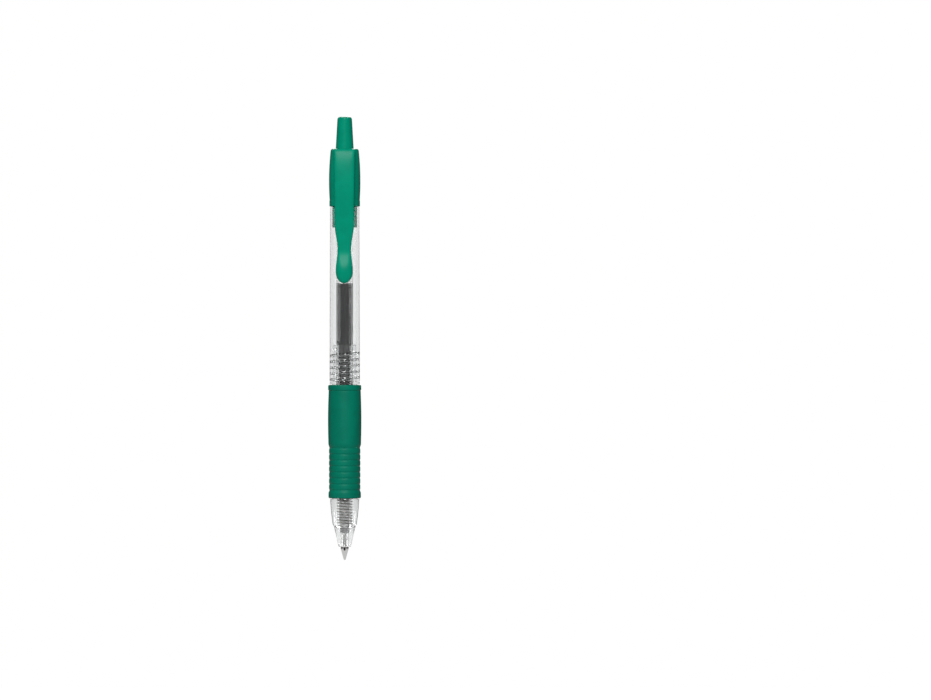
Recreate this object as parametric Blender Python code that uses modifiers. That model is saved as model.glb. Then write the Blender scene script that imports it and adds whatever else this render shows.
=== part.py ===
"""Retractable gel pen, modelled upright with its tip down and its clip towards -Y.

Heights are measured up the pen's axis from the writing point. A datum empty then shifts the whole
pen, so that the world origin lies where the foot of the clip pinches a pocket against the barrel.
The pen is shown as it writes: tip out, button latched.
"""

import math

import bmesh
import bpy
from mathutils import Matrix, Vector

MM = 0.001

# Clearances
SEAT_GAP = 0.25 * MM  # pieces that bear on each other
RUN_GAP = 0.3 * MM  # pieces that slide or turn past each other
GUIDE_GAP = 0.2 * MM  # spigots in their bores, button and rotor in their guides
THREAD_GAP = 0.2 * MM  # thread ridge in its groove
BALL_GAP = 0.03 * MM  # ball in its seat
CLIP_GAP = 0.3 * MM  # clip over the cap and barrel

# Travel of the button
KNOCK_TRAVEL = 5.5 * MM  # up, from tip out to tip in
PRESS_TRAVEL = 1.5 * MM  # down, past the latch

# Refill: ball, tip, holder, tube, ink
BALL_RADIUS = 0.25 * MM
SOCKET_ANGLE = math.radians(40)  # how far the seat reaches round the ball, each way
TIP_LIP = 0.07 * MM
TIP_CONE_LENGTH = 3.5 * MM
TIP_TUBE_LENGTH = 5.1 * MM
TIP_RADIUS = 1.25 * MM
TIP_STEP = 0.45 * MM
TIP_SHANK_LENGTH = 2.5 * MM
TIP_SHANK_WALL = 0.35 * MM
INK_CHANNEL_RADIUS = 0.15 * MM
INK_CHANNEL_LENGTH = 1.0 * MM
HOLDER_WALL = 0.5 * MM
HOLDER_STEP = 0.35 * MM
HOLDER_SHOWN = 1.5 * MM  # collar length below the spring's seat
HOLDER_FLANGE = 1.2 * MM
HOLDER_PLUG_LENGTH = 5.0 * MM
TUBE_RADIUS = 2.7 * MM
TUBE_WALL = 0.35 * MM
REFILL_LENGTH = 110.5 * MM
TAIL_FLANGE = 0.8 * MM
TAIL_PLUG_LENGTH = 3.5 * MM
TAIL_VENT_RADIUS = 0.5 * MM
HEADSPACE = 13.2 * MM  # empty tube above the follower
FOLLOWER_LENGTH = 4.8 * MM

# Return spring
WIRE_DIAMETER = 0.4 * MM
SPRING_LENGTH = 16.7 * MM  # between its seats, tip out
SPRING_PITCH = 0.88 * MM
SPRING_POINTS_PER_CURL = 9

# Front section: nose, grip tube, stop flange, threaded spigot
TIP_REACH = 4.3 * MM  # tip standing out of the nose
NOSE_LENGTH = 15.1 * MM
NOSE_LIP = 0.37 * MM
NOSE_WALL = 0.6 * MM
NOSE_LEDGE = 0.33 * MM
NOSE_LEDGE_HEIGHT = 0.4 * MM
NOSE_SHOULDER = 0.63 * MM
NOSE_BULGE = 0.1 * MM
REFILL_PLAY = 0.5 * MM
FRONT_WALL = 0.8 * MM
STOP_FLANGE = 0.8 * MM
STOP_FLANGE_INSET = 0.05 * MM
SPIGOT_WALL = 0.55 * MM
THREAD_PITCH = 1.9 * MM
THREAD_TURNS = 4
THREAD_LEAD_IN = 1.2 * MM
RIDGE_RADIUS = 0.4 * MM
PILOT_LENGTH = 2.7 * MM
PILOT_CHAMFER = 0.3 * MM

# Rubber grip
GRIP_LENGTH = 36.05 * MM
GRIP_WALL = 1.05 * MM  # at the swell
GRIP_RIM_HEIGHT = 1.6 * MM
GRIP_RIM_INSET = 0.05 * MM
GRIP_NECK_INSET = 0.2 * MM
GRIP_SHOULDER_INSET = 0.12 * MM  # where the swell meets the ribs
GRIP_RIB_COUNT = 8
GRIP_RIB_PITCH = 1.9 * MM
GRIP_CREST_INSET = 0.32 * MM
GRIP_GROOVE_DEPTH = 0.18 * MM
GRIP_FOOT_HEIGHT = 2.0 * MM  # plain band below the ribs
GRIP_FOOT_INSET = 0.15 * MM
GRIP_ROUND = 0.5 * MM

# Barrel
BARREL_WALL = 0.85 * MM
SOCKET_WALL = 0.5 * MM

# Cap with the guide of the click mechanism
CAP_LENGTH = 18.3 * MM
CAP_SWELL = 0.335 * MM
CAP_CREST_DROP = 10.2 * MM  # from the cap's top down to its widest place
CAP_TAPER = 0.565 * MM
CAP_ROUND = 0.4 * MM
CAP_LIP_HEIGHT = 1.9 * MM
CAP_LIP = 0.08 * MM
CAP_CHAMFER = 0.3 * MM
CAP_ROOF = 1.0 * MM
CAP_SPIGOT_LENGTH = 6.7 * MM
CAP_SPIGOT_WALL = 0.45 * MM
RIB_DEPTH = 0.45 * MM
SLOT_WIDTH = 2.4 * MM
SLOT_SETBACK = 0.05 * MM
SLOT_PAIRS = 2

# Button and cam rotor
KNOCK_REACH = 10.2 * MM  # standing out of the cap
KNOCK_RADIUS = 2.85 * MM
KNOCK_TOP_RADIUS = 2.22 * MM
KNOCK_ROUND = 0.35 * MM
KNOCK_WALL = 0.95 * MM
LUG_LENGTH = 4.0 * MM
CROWN_DEPTH = 0.8 * MM
CROWN_TEETH = 8
ROTOR_INSET = 0.15 * MM
ROTOR_BOSS_STEP = 0.4 * MM
ROTOR_BOSS_LENGTH = 2.65 * MM
ROTOR_FOOT = 1.0 * MM
ROTOR_STEM_LENGTH = 4.0 * MM
SPLINE_LENGTH = 3.6 * MM

# Clip
CLIP_DROP = 0.2 * MM  # below the cap's top
CLIP_LENGTH = 42.7 * MM
CLIP_WIDTH = 6.6 * MM
CLIP_TAPER = 0.22 * MM  # each side, down to the shoulder
CLIP_SHOULDER = 23.5 * MM  # length that keeps nearly its full width
CLIP_NECK = 32.0 * MM  # from the top down to the narrowest place
CLIP_NECK_WIDTH = 4.3 * MM
CLIP_BULB = 38.9 * MM  # from the top down to the bulb's widest place
CLIP_BULB_WIDTH = 5.44 * MM
CLIP_THICKNESS = 1.35 * MM
CLIP_NECK_THICKNESS = 1.0 * MM
CLIP_BULB_THICKNESS = 2.4 * MM
CLIP_ARCH = 12.5 * MM  # length of the rounded top
CLIP_ROOT_LENGTH = 5.0 * MM
CLIP_ROOT_THICKNESS = 0.65 * MM
CLIP_SEAT_WALL = 0.55 * MM
CLIP_SKIRT = 0.7 * MM  # how far the sides reach down past the back of the clip

# Facets
SEGMENTS = 32
TIP_SEGMENTS = 20
THREAD_POINTS_PER_TURN = 16
CLIP_RING_POINTS = 16
ARC_STEPS = 6
MERGE = 0.001 * MM
CUT_MARGIN = 1.0 * MM  # how far a cutter runs past what it cuts

# Radii that follow from the sizes above
TIP_SHANK_RADIUS = TIP_RADIUS - TIP_STEP
HOLDER_BORE = TIP_SHANK_RADIUS + GUIDE_GAP
HOLDER_RADIUS = HOLDER_BORE + HOLDER_WALL
STEM_RADIUS = HOLDER_RADIUS + HOLDER_STEP
WIRE_RADIUS = WIRE_DIAMETER / 2
SPRING_RADIUS = STEM_RADIUS + RUN_GAP + WIRE_RADIUS
CHAMBER_RADIUS = SPRING_RADIUS + WIRE_RADIUS + RUN_GAP
TUBE_BORE = TUBE_RADIUS - TUBE_WALL
INK_RADIUS = TUBE_BORE - SEAT_GAP
NOSE_TIP_BORE = TIP_RADIUS + RUN_GAP
NOSE_COLLAR_BORE = HOLDER_RADIUS + RUN_GAP
FRONT_BORE = TUBE_RADIUS + REFILL_PLAY
FRONT_RADIUS = FRONT_BORE + FRONT_WALL
FRONT_SPIGOT_RADIUS = FRONT_BORE + SPIGOT_WALL
GRIP_BORE = FRONT_RADIUS + SEAT_GAP
GRIP_RADIUS = GRIP_BORE + GRIP_WALL
BARREL_BORE = FRONT_SPIGOT_RADIUS + GUIDE_GAP
BARREL_FOOT_RADIUS = BARREL_BORE + BARREL_WALL
GUIDE_RADIUS = KNOCK_RADIUS + GUIDE_GAP
CAM_BORE = GUIDE_RADIUS + RIB_DEPTH
SLOT_RADIUS = CAM_BORE - SLOT_SETBACK
LUG_RADIUS = CAM_BORE - RUN_GAP
LUG_WIDTH = SLOT_WIDTH - 2 * GUIDE_GAP
CAP_SPIGOT_RADIUS = CAM_BORE + CAP_SPIGOT_WALL
SOCKET_RADIUS = CAP_SPIGOT_RADIUS + GUIDE_GAP
BARREL_TOP_RADIUS = SOCKET_RADIUS + SOCKET_WALL
CAP_RADIUS = BARREL_TOP_RADIUS + CAP_SWELL
KNOCK_BORE = KNOCK_RADIUS - KNOCK_WALL
ROTOR_RADIUS = KNOCK_RADIUS - ROTOR_INSET
ROTOR_STEM_RADIUS = KNOCK_BORE - RUN_GAP
CLIP_SEAT = SLOT_RADIUS + CLIP_SEAT_WALL
CLIP_ROOT_BACK = CLIP_SEAT + SEAT_GAP

# Heights that follow, from the tip up
TIP_SHOULDER_Z = TIP_CONE_LENGTH + TIP_TUBE_LENGTH
HOLDER_BOTTOM_Z = TIP_SHOULDER_Z + SEAT_GAP
SPRING_SEAT_Z = HOLDER_BOTTOM_Z + HOLDER_SHOWN
STEM_BOTTOM_Z = SPRING_SEAT_Z + PRESS_TRAVEL + RUN_GAP
HOLDER_FLANGE_Z = SPRING_SEAT_Z + SPRING_LENGTH
PLUG_BOTTOM_Z = HOLDER_FLANGE_Z + HOLDER_FLANGE
PLUG_TOP_Z = PLUG_BOTTOM_Z + HOLDER_PLUG_LENGTH
TUBE_BOTTOM_Z = PLUG_BOTTOM_Z + SEAT_GAP
TAIL_FLANGE_Z = REFILL_LENGTH - TAIL_FLANGE
TUBE_TOP_Z = TAIL_FLANGE_Z - SEAT_GAP
TAIL_PLUG_Z = TAIL_FLANGE_Z - TAIL_PLUG_LENGTH
FOLLOWER_TOP_Z = TAIL_PLUG_Z - HEADSPACE
FOLLOWER_BOTTOM_Z = FOLLOWER_TOP_Z - FOLLOWER_LENGTH
INK_TOP_Z = FOLLOWER_BOTTOM_Z - SEAT_GAP
GRIP_SEAT_Z = TIP_REACH + NOSE_LENGTH
GRIP_BOTTOM_Z = GRIP_SEAT_Z + SEAT_GAP
GRIP_TOP_Z = GRIP_BOTTOM_Z + GRIP_LENGTH
STOP_BOTTOM_Z = GRIP_TOP_Z + SEAT_GAP
STOP_TOP_Z = STOP_BOTTOM_Z + STOP_FLANGE
BARREL_BOTTOM_Z = STOP_TOP_Z + SEAT_GAP
THREAD_BOTTOM_Z = BARREL_BOTTOM_Z + THREAD_LEAD_IN
FRONT_TOP_Z = THREAD_BOTTOM_Z + THREAD_TURNS * THREAD_PITCH + PILOT_LENGTH
ROTOR_BOTTOM_Z = REFILL_LENGTH + SEAT_GAP
ROTOR_BODY_Z = ROTOR_BOTTOM_Z + ROTOR_BOSS_LENGTH
SPLINE_BOTTOM_Z = ROTOR_BODY_Z + ROTOR_FOOT
SPLINE_TOP_Z = SPLINE_BOTTOM_Z + SPLINE_LENGTH
RIB_END_Z = SPLINE_TOP_Z + RUN_GAP
ROTOR_CREST_Z = RIB_END_Z + RUN_GAP
KNOCK_CROWN_Z = ROTOR_CREST_Z + RUN_GAP
LUG_BOTTOM_Z = KNOCK_CROWN_Z + CROWN_DEPTH + GUIDE_GAP
LUG_TOP_Z = LUG_BOTTOM_Z + LUG_LENGTH
SLOT_TOP_Z = LUG_TOP_Z + KNOCK_TRAVEL + RUN_GAP
CAP_TOP_Z = SLOT_TOP_Z + CAP_ROOF
CAP_SHOULDER_Z = CAP_TOP_Z - CAP_LENGTH
BARREL_TOP_Z = CAP_SHOULDER_Z - SEAT_GAP
CAP_SPIGOT_Z = CAP_SHOULDER_Z - CAP_SPIGOT_LENGTH
KNOCK_TOP_Z = CAP_TOP_Z + KNOCK_REACH
CLIP_TOP_Z = CAP_TOP_Z - CLIP_DROP
CLIP_ROOT_Z = CLIP_TOP_Z - CLIP_ROOT_LENGTH
CLIP_BULB_Z = CLIP_TOP_Z - CLIP_BULB
CLIP_BOTTOM_Z = CLIP_TOP_Z - CLIP_LENGTH

# Linear colours
GREEN = (0.004, 0.318, 0.181)
GRIP_GREEN = (0.001, 0.178, 0.112)
CLEAR = (0.93, 0.94, 0.94)
MILKY = (0.75, 0.76, 0.76)
INK = (0.053, 0.053, 0.056)
GREY = (0.25, 0.25, 0.25)
STEEL = (0.6, 0.6, 0.6)


def mix(low, high, share):
    """The value a share of the way from low to high."""
    return low + (high - low) * share


def ease(share):
    """A share from 0 to 1, level at both ends."""
    return (1 - math.cos(math.pi * share)) / 2


def barrel_radius(height):
    """Outer radius of the gently tapered barrel."""
    share = (height - BARREL_BOTTOM_Z) / (BARREL_TOP_Z - BARREL_BOTTOM_Z)
    return mix(BARREL_FOOT_RADIUS, BARREL_TOP_RADIUS, share)


def new_collection(name):
    collection = bpy.data.collections.new(name)
    bpy.context.scene.collection.children.link(collection)
    return collection


def material(name, colour, roughness, metallic=0.0, transmission=0.0):
    """A Principled material."""
    made = bpy.data.materials.new(name)
    made.use_nodes = True
    shader = made.node_tree.nodes["Principled BSDF"]
    shader.inputs["Base Color"].default_value = (*colour, 1)
    shader.inputs["Roughness"].default_value = roughness
    shader.inputs["Metallic"].default_value = metallic
    shader.inputs["Transmission Weight"].default_value = transmission
    made.diffuse_color = (*colour, 1)
    return made


class Bench:
    """Where pieces and cutters are put: two collections, and the datum that carries them."""

    def __init__(self):
        self.parts = new_collection("gel_pen")
        self.cutters = new_collection("gel_pen_cutters")
        self.datum = bpy.data.objects.new("pen_datum", None)
        pinch = barrel_radius(CLIP_BULB_Z) + CLIP_GAP / 2
        self.datum.location = (0, pinch, -CLIP_BULB_Z)
        self.parts.objects.link(self.datum)

    def place(self, name, mesh, finish=None, pivot=(0, 0, 0)):
        """Put a mesh on the bench as a piece, or as a cutter if it has no finish."""
        mesh.transform(Matrix.Translation(-Vector(pivot)))
        made = bpy.data.objects.new(name, mesh)
        made.location = pivot
        made.parent = self.datum
        if finish:
            mesh.materials.append(finish)
            self.parts.objects.link(made)
        else:
            made.hide_render = True
            made.display_type = "WIRE"
            self.cutters.objects.link(made)
        return made


def evaluated_mesh(source):
    """The shape of an object with its modifiers, as a mesh of its own; the object goes."""
    bpy.context.scene.collection.objects.link(source)
    depsgraph = bpy.context.evaluated_depsgraph_get()
    mesh = bpy.data.meshes.new_from_object(source.evaluated_get(depsgraph))
    bpy.data.objects.remove(source)
    return mesh


def crease(mesh):
    """Smooth shading with sharp corners."""
    mesh.shade_smooth()
    mesh.set_sharp_from_angle(angle=math.radians(32))
    return mesh


def turned(name, profile, segments=SEGMENTS):
    """A body of revolution from (radius, height) points, down the outside and up the bore."""
    outline = bpy.data.meshes.new(name)
    corners = [(radius, 0, height) for radius, height in profile]
    edges = [(i, i + 1) for i in range(len(corners) - 1)]
    if profile[0][0] > 0:
        edges.append((len(corners) - 1, 0))
    outline.from_pydata(corners, edges, [])
    source = bpy.data.objects.new(name, outline)
    screw = source.modifiers.new("Turn", "SCREW")
    screw.angle = math.tau
    screw.steps = segments
    screw.render_steps = segments
    screw.use_merge_vertices = True
    screw.merge_threshold = MERGE
    mesh = evaluated_mesh(source)
    mesh.name = name
    return crease(mesh)


def block(name, low, high):
    """A box between two corners."""
    mesh = bpy.data.meshes.new(name)
    low, high = Vector(low), Vector(high)
    shape = bmesh.new()
    size = Matrix.Diagonal((*(high - low), 1))
    bmesh.ops.create_cube(shape, size=1, matrix=Matrix.Translation((low + high) / 2) @ size)
    shape.to_mesh(mesh)
    shape.free()
    return mesh


def wire(name, points, radius, resolution):
    """A round wire along points, with closed ends."""
    curve = bpy.data.curves.new(name, "CURVE")
    curve.dimensions = "3D"
    curve.bevel_depth = radius
    curve.bevel_resolution = resolution
    curve.use_fill_caps = True
    spline = curve.splines.new("POLY")
    spline.points.add(len(points) - 1)
    for place, point in zip(spline.points, points):
        place.co = (*point, 1)
    mesh = evaluated_mesh(bpy.data.objects.new(name, curve))
    mesh.name = name
    shape = bmesh.new()
    shape.from_mesh(mesh)
    bmesh.ops.remove_doubles(shape, verts=shape.verts, dist=MERGE)
    bmesh.ops.recalc_face_normals(shape, faces=shape.faces)
    shape.to_mesh(mesh)
    shape.free()
    return mesh


def helix(radius, pitch, bottom, first_turn, last_turn, points_per_turn, hand=1):
    """Points along a helix about the pen's axis, whose turn 0 is at the bottom height."""
    count = round((last_turn - first_turn) * points_per_turn)
    points = []
    for step in range(count + 1):
        turn = first_turn + step / points_per_turn
        angle = hand * math.tau * turn
        height = bottom + pitch * turn
        points.append(Vector((radius * math.cos(angle), radius * math.sin(angle), height)))
    return points


def boolean(target, other, operation):
    """Cut the other body out of the target, or join it on."""
    step = target.modifiers.new(other.name, "BOOLEAN")
    step.operation = operation
    step.object = other


def cross_bars(bench, name, width, reach, bottom, top):
    """Bars through the axis, crossing at even angles, for lugs, splines and slots."""
    bars = []
    for number in range(SLOT_PAIRS):
        mesh = block(name, (-reach, -width / 2, bottom), (reach, width / 2, top))
        mesh.transform(Matrix.Rotation(math.pi * number / SLOT_PAIRS, 4, "Z"))
        bars.append(bench.place(f"{name}_{number + 1}", mesh))
    return bars


def cut_crown(bench, target, name, height):
    """V notches across the axis, which leave a crown of teeth on a face."""
    side = CROWN_DEPTH * math.sqrt(2)
    for number in range(CROWN_TEETH // 2):
        mesh = block(name, (-CAM_BORE, -side / 2, -side / 2), (CAM_BORE, side / 2, side / 2))
        mesh.transform(Matrix.Rotation(math.pi / 4, 4, "X"))
        turn = math.tau * (number + 0.5) / CROWN_TEETH
        mesh.transform(Matrix.Translation((0, 0, height)) @ Matrix.Rotation(turn, 4, "Z"))
        boolean(target, bench.place(f"{name}_{number + 1}", mesh), "DIFFERENCE")


def make_tip_ball(bench, finish):
    mesh = bpy.data.meshes.new("tip_ball")
    shape = bmesh.new()
    bmesh.ops.create_uvsphere(shape, u_segments=16, v_segments=10, radius=BALL_RADIUS)
    shape.to_mesh(mesh)
    shape.free()
    mesh.shade_smooth()
    mesh.transform(Matrix.Translation((0, 0, BALL_RADIUS)))
    bench.place("tip_ball", mesh, finish, pivot=(0, 0, BALL_RADIUS))


def make_writing_tip(bench, finish):
    """Cone, tube and shank, with the ball's seat and the ink channel."""
    seat = (BALL_RADIUS + BALL_GAP) / math.cos(SOCKET_ANGLE / 2)
    lip = seat * math.cos(SOCKET_ANGLE)
    lip_z = BALL_RADIUS - seat * math.sin(SOCKET_ANGLE)
    seat_top_z = BALL_RADIUS + seat * math.sin(SOCKET_ANGLE)
    bore = TIP_SHANK_RADIUS - TIP_SHANK_WALL
    channel_z = seat_top_z + INK_CHANNEL_LENGTH
    shank_z = TIP_SHOULDER_Z + TIP_SHANK_LENGTH
    profile = [
        (TIP_SHANK_RADIUS, shank_z),
        (TIP_SHANK_RADIUS, TIP_SHOULDER_Z),
        (TIP_RADIUS, TIP_SHOULDER_Z),
        (TIP_RADIUS, TIP_CONE_LENGTH),
        (lip + TIP_LIP, lip_z),
        (lip, lip_z),
        (seat, BALL_RADIUS),
        (lip, seat_top_z),
        (INK_CHANNEL_RADIUS, seat_top_z + lip - INK_CHANNEL_RADIUS),
        (INK_CHANNEL_RADIUS, channel_z),
        (bore, channel_z + bore),
        (bore, shank_z),
    ]
    bench.place("writing_tip", turned("writing_tip", profile, TIP_SEGMENTS), finish)


def make_tip_holder(bench, finish):
    profile = [
        (INK_RADIUS, PLUG_TOP_Z),
        (INK_RADIUS, PLUG_BOTTOM_Z),
        (TUBE_RADIUS, PLUG_BOTTOM_Z),
        (TUBE_RADIUS, HOLDER_FLANGE_Z),
        (STEM_RADIUS, HOLDER_FLANGE_Z),
        (STEM_RADIUS, STEM_BOTTOM_Z + HOLDER_STEP),
        (HOLDER_RADIUS, STEM_BOTTOM_Z),
        (HOLDER_RADIUS, HOLDER_BOTTOM_Z),
        (HOLDER_BORE, HOLDER_BOTTOM_Z),
        (HOLDER_BORE, PLUG_TOP_Z),
    ]
    bench.place("tip_holder", turned("tip_holder", profile), finish)


def make_ink_tube(bench, finish):
    profile = [
        (TUBE_RADIUS, TUBE_TOP_Z),
        (TUBE_RADIUS, TUBE_BOTTOM_Z),
        (TUBE_BORE, TUBE_BOTTOM_Z),
        (TUBE_BORE, TUBE_TOP_Z),
    ]
    bench.place("ink_tube", turned("ink_tube", profile), finish)


def make_filling(bench, name, finish, bottom, top):
    """A plug of ink or grease in the tube."""
    profile = [(0, top), (INK_RADIUS, top), (INK_RADIUS, bottom), (0, bottom)]
    bench.place(name, turned(name, profile), finish)


def make_tail_plug(bench, finish):
    profile = [
        (TUBE_RADIUS, REFILL_LENGTH),
        (TUBE_RADIUS, TAIL_FLANGE_Z),
        (INK_RADIUS, TAIL_FLANGE_Z),
        (INK_RADIUS, TAIL_PLUG_Z),
        (TAIL_VENT_RADIUS, TAIL_PLUG_Z),
        (TAIL_VENT_RADIUS, REFILL_LENGTH),
    ]
    bench.place("tail_plug", turned("tail_plug", profile), finish)


def make_return_spring(bench, finish):
    """One unbroken left-hand coil between the nose and the holder's flange."""
    end_room = SEAT_GAP + WIRE_RADIUS
    turns = round((SPRING_LENGTH - 2 * end_room) / SPRING_PITCH)
    pitch = (SPRING_LENGTH - 2 * end_room) / turns
    bottom = SPRING_SEAT_Z + end_room
    points = helix(SPRING_RADIUS, pitch, bottom, 0, turns, SPRING_POINTS_PER_CURL, hand=-1)
    half_curl = SPRING_POINTS_PER_CURL // 2
    nearest = min(
        (points[one] - points[other]).length
        for one in range(len(points))
        for other in range(one + half_curl, len(points))
    )
    gap_mm = (nearest - WIRE_DIAMETER) / MM
    print(f"return_spring: {turns} curls, least gap to itself {gap_mm:.3f} mm")
    mesh = wire("return_spring", points, WIRE_RADIUS, 1)
    mesh.shade_smooth()
    bench.place("return_spring", mesh, finish)


def nose_outline():
    """The nose from the grip's seat down to its mouth: bulged taper, ledge, cone."""
    ledge_radius = CHAMBER_RADIUS + NOSE_WALL
    ledge_z = SPRING_SEAT_Z + NOSE_LEDGE_HEIGHT
    taper_radius = ledge_radius + NOSE_LEDGE
    taper_z = ledge_z + NOSE_LEDGE_HEIGHT
    points = []
    for step in range(ARC_STEPS + 1):
        share = step / ARC_STEPS
        radius = mix(FRONT_RADIUS + NOSE_SHOULDER, taper_radius, share)
        radius += NOSE_BULGE * 4 * share * (1 - share)
        points.append((radius, mix(GRIP_SEAT_Z, taper_z, share)))
    points.append((ledge_radius, ledge_z))
    points.append((NOSE_TIP_BORE + NOSE_LIP, TIP_REACH))
    return points


def make_front_section(bench, finish):
    """Nose, grip tube, stop flange and threaded spigot in one moulding."""
    collar_z = HOLDER_BOTTOM_Z - PRESS_TRAVEL - RUN_GAP
    chamber_z = HOLDER_FLANGE_Z - PRESS_TRAVEL - RUN_GAP
    stop_radius = BARREL_FOOT_RADIUS - STOP_FLANGE_INSET
    profile = [
        (FRONT_SPIGOT_RADIUS - PILOT_CHAMFER, FRONT_TOP_Z),
        (FRONT_SPIGOT_RADIUS, FRONT_TOP_Z - PILOT_CHAMFER),
        (FRONT_SPIGOT_RADIUS, STOP_TOP_Z),
        (stop_radius, STOP_TOP_Z),
        (stop_radius, STOP_BOTTOM_Z),
        (FRONT_RADIUS, STOP_BOTTOM_Z),
        (FRONT_RADIUS, GRIP_SEAT_Z),
        *nose_outline(),
        (NOSE_TIP_BORE, TIP_REACH),
        (NOSE_TIP_BORE, collar_z - RUN_GAP),
        (NOSE_COLLAR_BORE, collar_z),
        (NOSE_COLLAR_BORE, SPRING_SEAT_Z),
        (CHAMBER_RADIUS, SPRING_SEAT_Z),
        (CHAMBER_RADIUS, chamber_z - REFILL_PLAY),
        (FRONT_BORE, chamber_z),
        (FRONT_BORE, FRONT_TOP_Z),
    ]
    section = bench.place("front_section", turned("front_section", profile), finish)
    path = helix(
        FRONT_SPIGOT_RADIUS, THREAD_PITCH, THREAD_BOTTOM_Z, 0, THREAD_TURNS, THREAD_POINTS_PER_TURN
    )
    ridge = bench.place("thread_ridge", wire("thread_ridge", path, RIDGE_RADIUS, 2))
    boolean(section, ridge, "UNION")


def grip_outline():
    """The sleeve from its top rim down: rim, neck, swell, ribs, foot."""
    rim = GRIP_RADIUS - GRIP_RIM_INSET
    crest = GRIP_RADIUS - GRIP_CREST_INSET
    groove = crest - GRIP_GROOVE_DEPTH
    foot = GRIP_RADIUS - GRIP_FOOT_INSET
    neck_z = GRIP_TOP_Z - GRIP_RIM_HEIGHT
    ribs_bottom_z = GRIP_BOTTOM_Z + GRIP_FOOT_HEIGHT
    ribs_top_z = ribs_bottom_z + GRIP_RIB_COUNT * GRIP_RIB_PITCH
    bulge = (GRIP_NECK_INSET + GRIP_SHOULDER_INSET) / 2
    points = [(rim - GRIP_ROUND / 2, GRIP_TOP_Z), (rim, GRIP_TOP_Z - GRIP_ROUND / 2), (rim, neck_z)]
    for step in range(ARC_STEPS + 3):
        share = step / (ARC_STEPS + 2)
        edge = GRIP_RADIUS - mix(GRIP_NECK_INSET, GRIP_SHOULDER_INSET, share)
        swell = edge + bulge * math.sin(math.pi * share)
        points.append((swell, mix(neck_z - GRIP_ROUND, ribs_top_z, share)))
    for number in range(GRIP_RIB_COUNT):
        top = ribs_top_z - number * GRIP_RIB_PITCH
        points.append((crest, top - GRIP_RIB_PITCH / 2))
        points.append((groove, top - GRIP_RIB_PITCH * 2 / 3))
        points.append((crest, top - GRIP_RIB_PITCH * 5 / 6))
    points.append((foot, ribs_bottom_z - GRIP_ROUND / 2))
    points.append((foot, GRIP_BOTTOM_Z + GRIP_ROUND))
    points.append((foot - GRIP_ROUND / 3, GRIP_BOTTOM_Z + GRIP_ROUND / 3))
    points.append((foot - GRIP_ROUND, GRIP_BOTTOM_Z))
    return points


def make_rubber_grip(bench, finish):
    profile = [*grip_outline(), (GRIP_BORE, GRIP_BOTTOM_Z), (GRIP_BORE, GRIP_TOP_Z)]
    bench.place("rubber_grip", turned("rubber_grip", profile), finish)


def make_barrel(bench, finish):
    """Clear tube: thread groove at its foot, socket for the cap's spigot at its top."""
    socket_z = CAP_SPIGOT_Z - SEAT_GAP
    profile = [
        (BARREL_TOP_RADIUS, BARREL_TOP_Z),
        (BARREL_FOOT_RADIUS, BARREL_BOTTOM_Z),
        (BARREL_BORE, BARREL_BOTTOM_Z),
        (BARREL_BORE, socket_z - GUIDE_GAP),
        (SOCKET_RADIUS, socket_z),
        (SOCKET_RADIUS, BARREL_TOP_Z),
    ]
    barrel = bench.place("barrel", turned("barrel", profile), finish)
    runs_out = -1 - math.ceil(THREAD_LEAD_IN / THREAD_PITCH)
    path = helix(
        FRONT_SPIGOT_RADIUS,
        THREAD_PITCH,
        THREAD_BOTTOM_Z,
        runs_out,
        THREAD_TURNS + 0.5,
        THREAD_POINTS_PER_TURN,
    )
    groove = bench.place("thread_groove", wire("thread_groove", path, RIDGE_RADIUS + THREAD_GAP, 2))
    boolean(barrel, groove, "DIFFERENCE")


def cap_outline():
    """The cap's shell from its rounded top edge down: barrel-like swell, lip, chamfer."""
    crest_z = CAP_TOP_Z - CAP_CREST_DROP
    top_z = CAP_TOP_Z - CAP_ROUND
    lip_z = CAP_SHOULDER_Z + CAP_LIP_HEIGHT
    top_radius = CAP_RADIUS - CAP_TAPER
    points = [(top_radius - CAP_ROUND, CAP_TOP_Z)]
    for step in range(2 * ARC_STEPS + 1):
        height = mix(top_z, lip_z, step / (2 * ARC_STEPS))
        fall = CAP_TAPER * ((height - crest_z) / (top_z - crest_z)) ** 2
        points.append((CAP_RADIUS - fall, height))
    lip_radius = points[-1][0] + CAP_LIP
    points.append((lip_radius, lip_z - CAP_LIP))
    points.append((lip_radius, CAP_SHOULDER_Z + CAP_CHAMFER))
    points.append((lip_radius - CAP_CHAMFER, CAP_SHOULDER_Z))
    return points


def make_clip_cap(bench, finish):
    """Shell and spigot, with guide ribs inside and a flat seat for the clip."""
    profile = [
        *cap_outline(),
        (CAP_SPIGOT_RADIUS, CAP_SHOULDER_Z),
        (CAP_SPIGOT_RADIUS, CAP_SPIGOT_Z),
        (CAM_BORE, CAP_SPIGOT_Z),
        (CAM_BORE, RIB_END_Z),
        (GUIDE_RADIUS, RIB_END_Z),
        (GUIDE_RADIUS, CAP_TOP_Z),
    ]
    cap = bench.place("clip_cap", turned("clip_cap", profile), finish)
    slot_bottom = RIB_END_Z - GUIDE_GAP
    for slot in cross_bars(bench, "guide_slot", SLOT_WIDTH, SLOT_RADIUS, slot_bottom, SLOT_TOP_Z):
        boolean(cap, slot, "DIFFERENCE")
    half = CLIP_WIDTH / 2 + CLIP_GAP
    low = (-half, -CAP_RADIUS - CUT_MARGIN, CLIP_ROOT_Z - CLIP_GAP)
    high = (half, -CLIP_SEAT, CAP_TOP_Z + CUT_MARGIN)
    boolean(cap, bench.place("clip_seat", block("clip_seat", low, high)), "DIFFERENCE")


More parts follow.
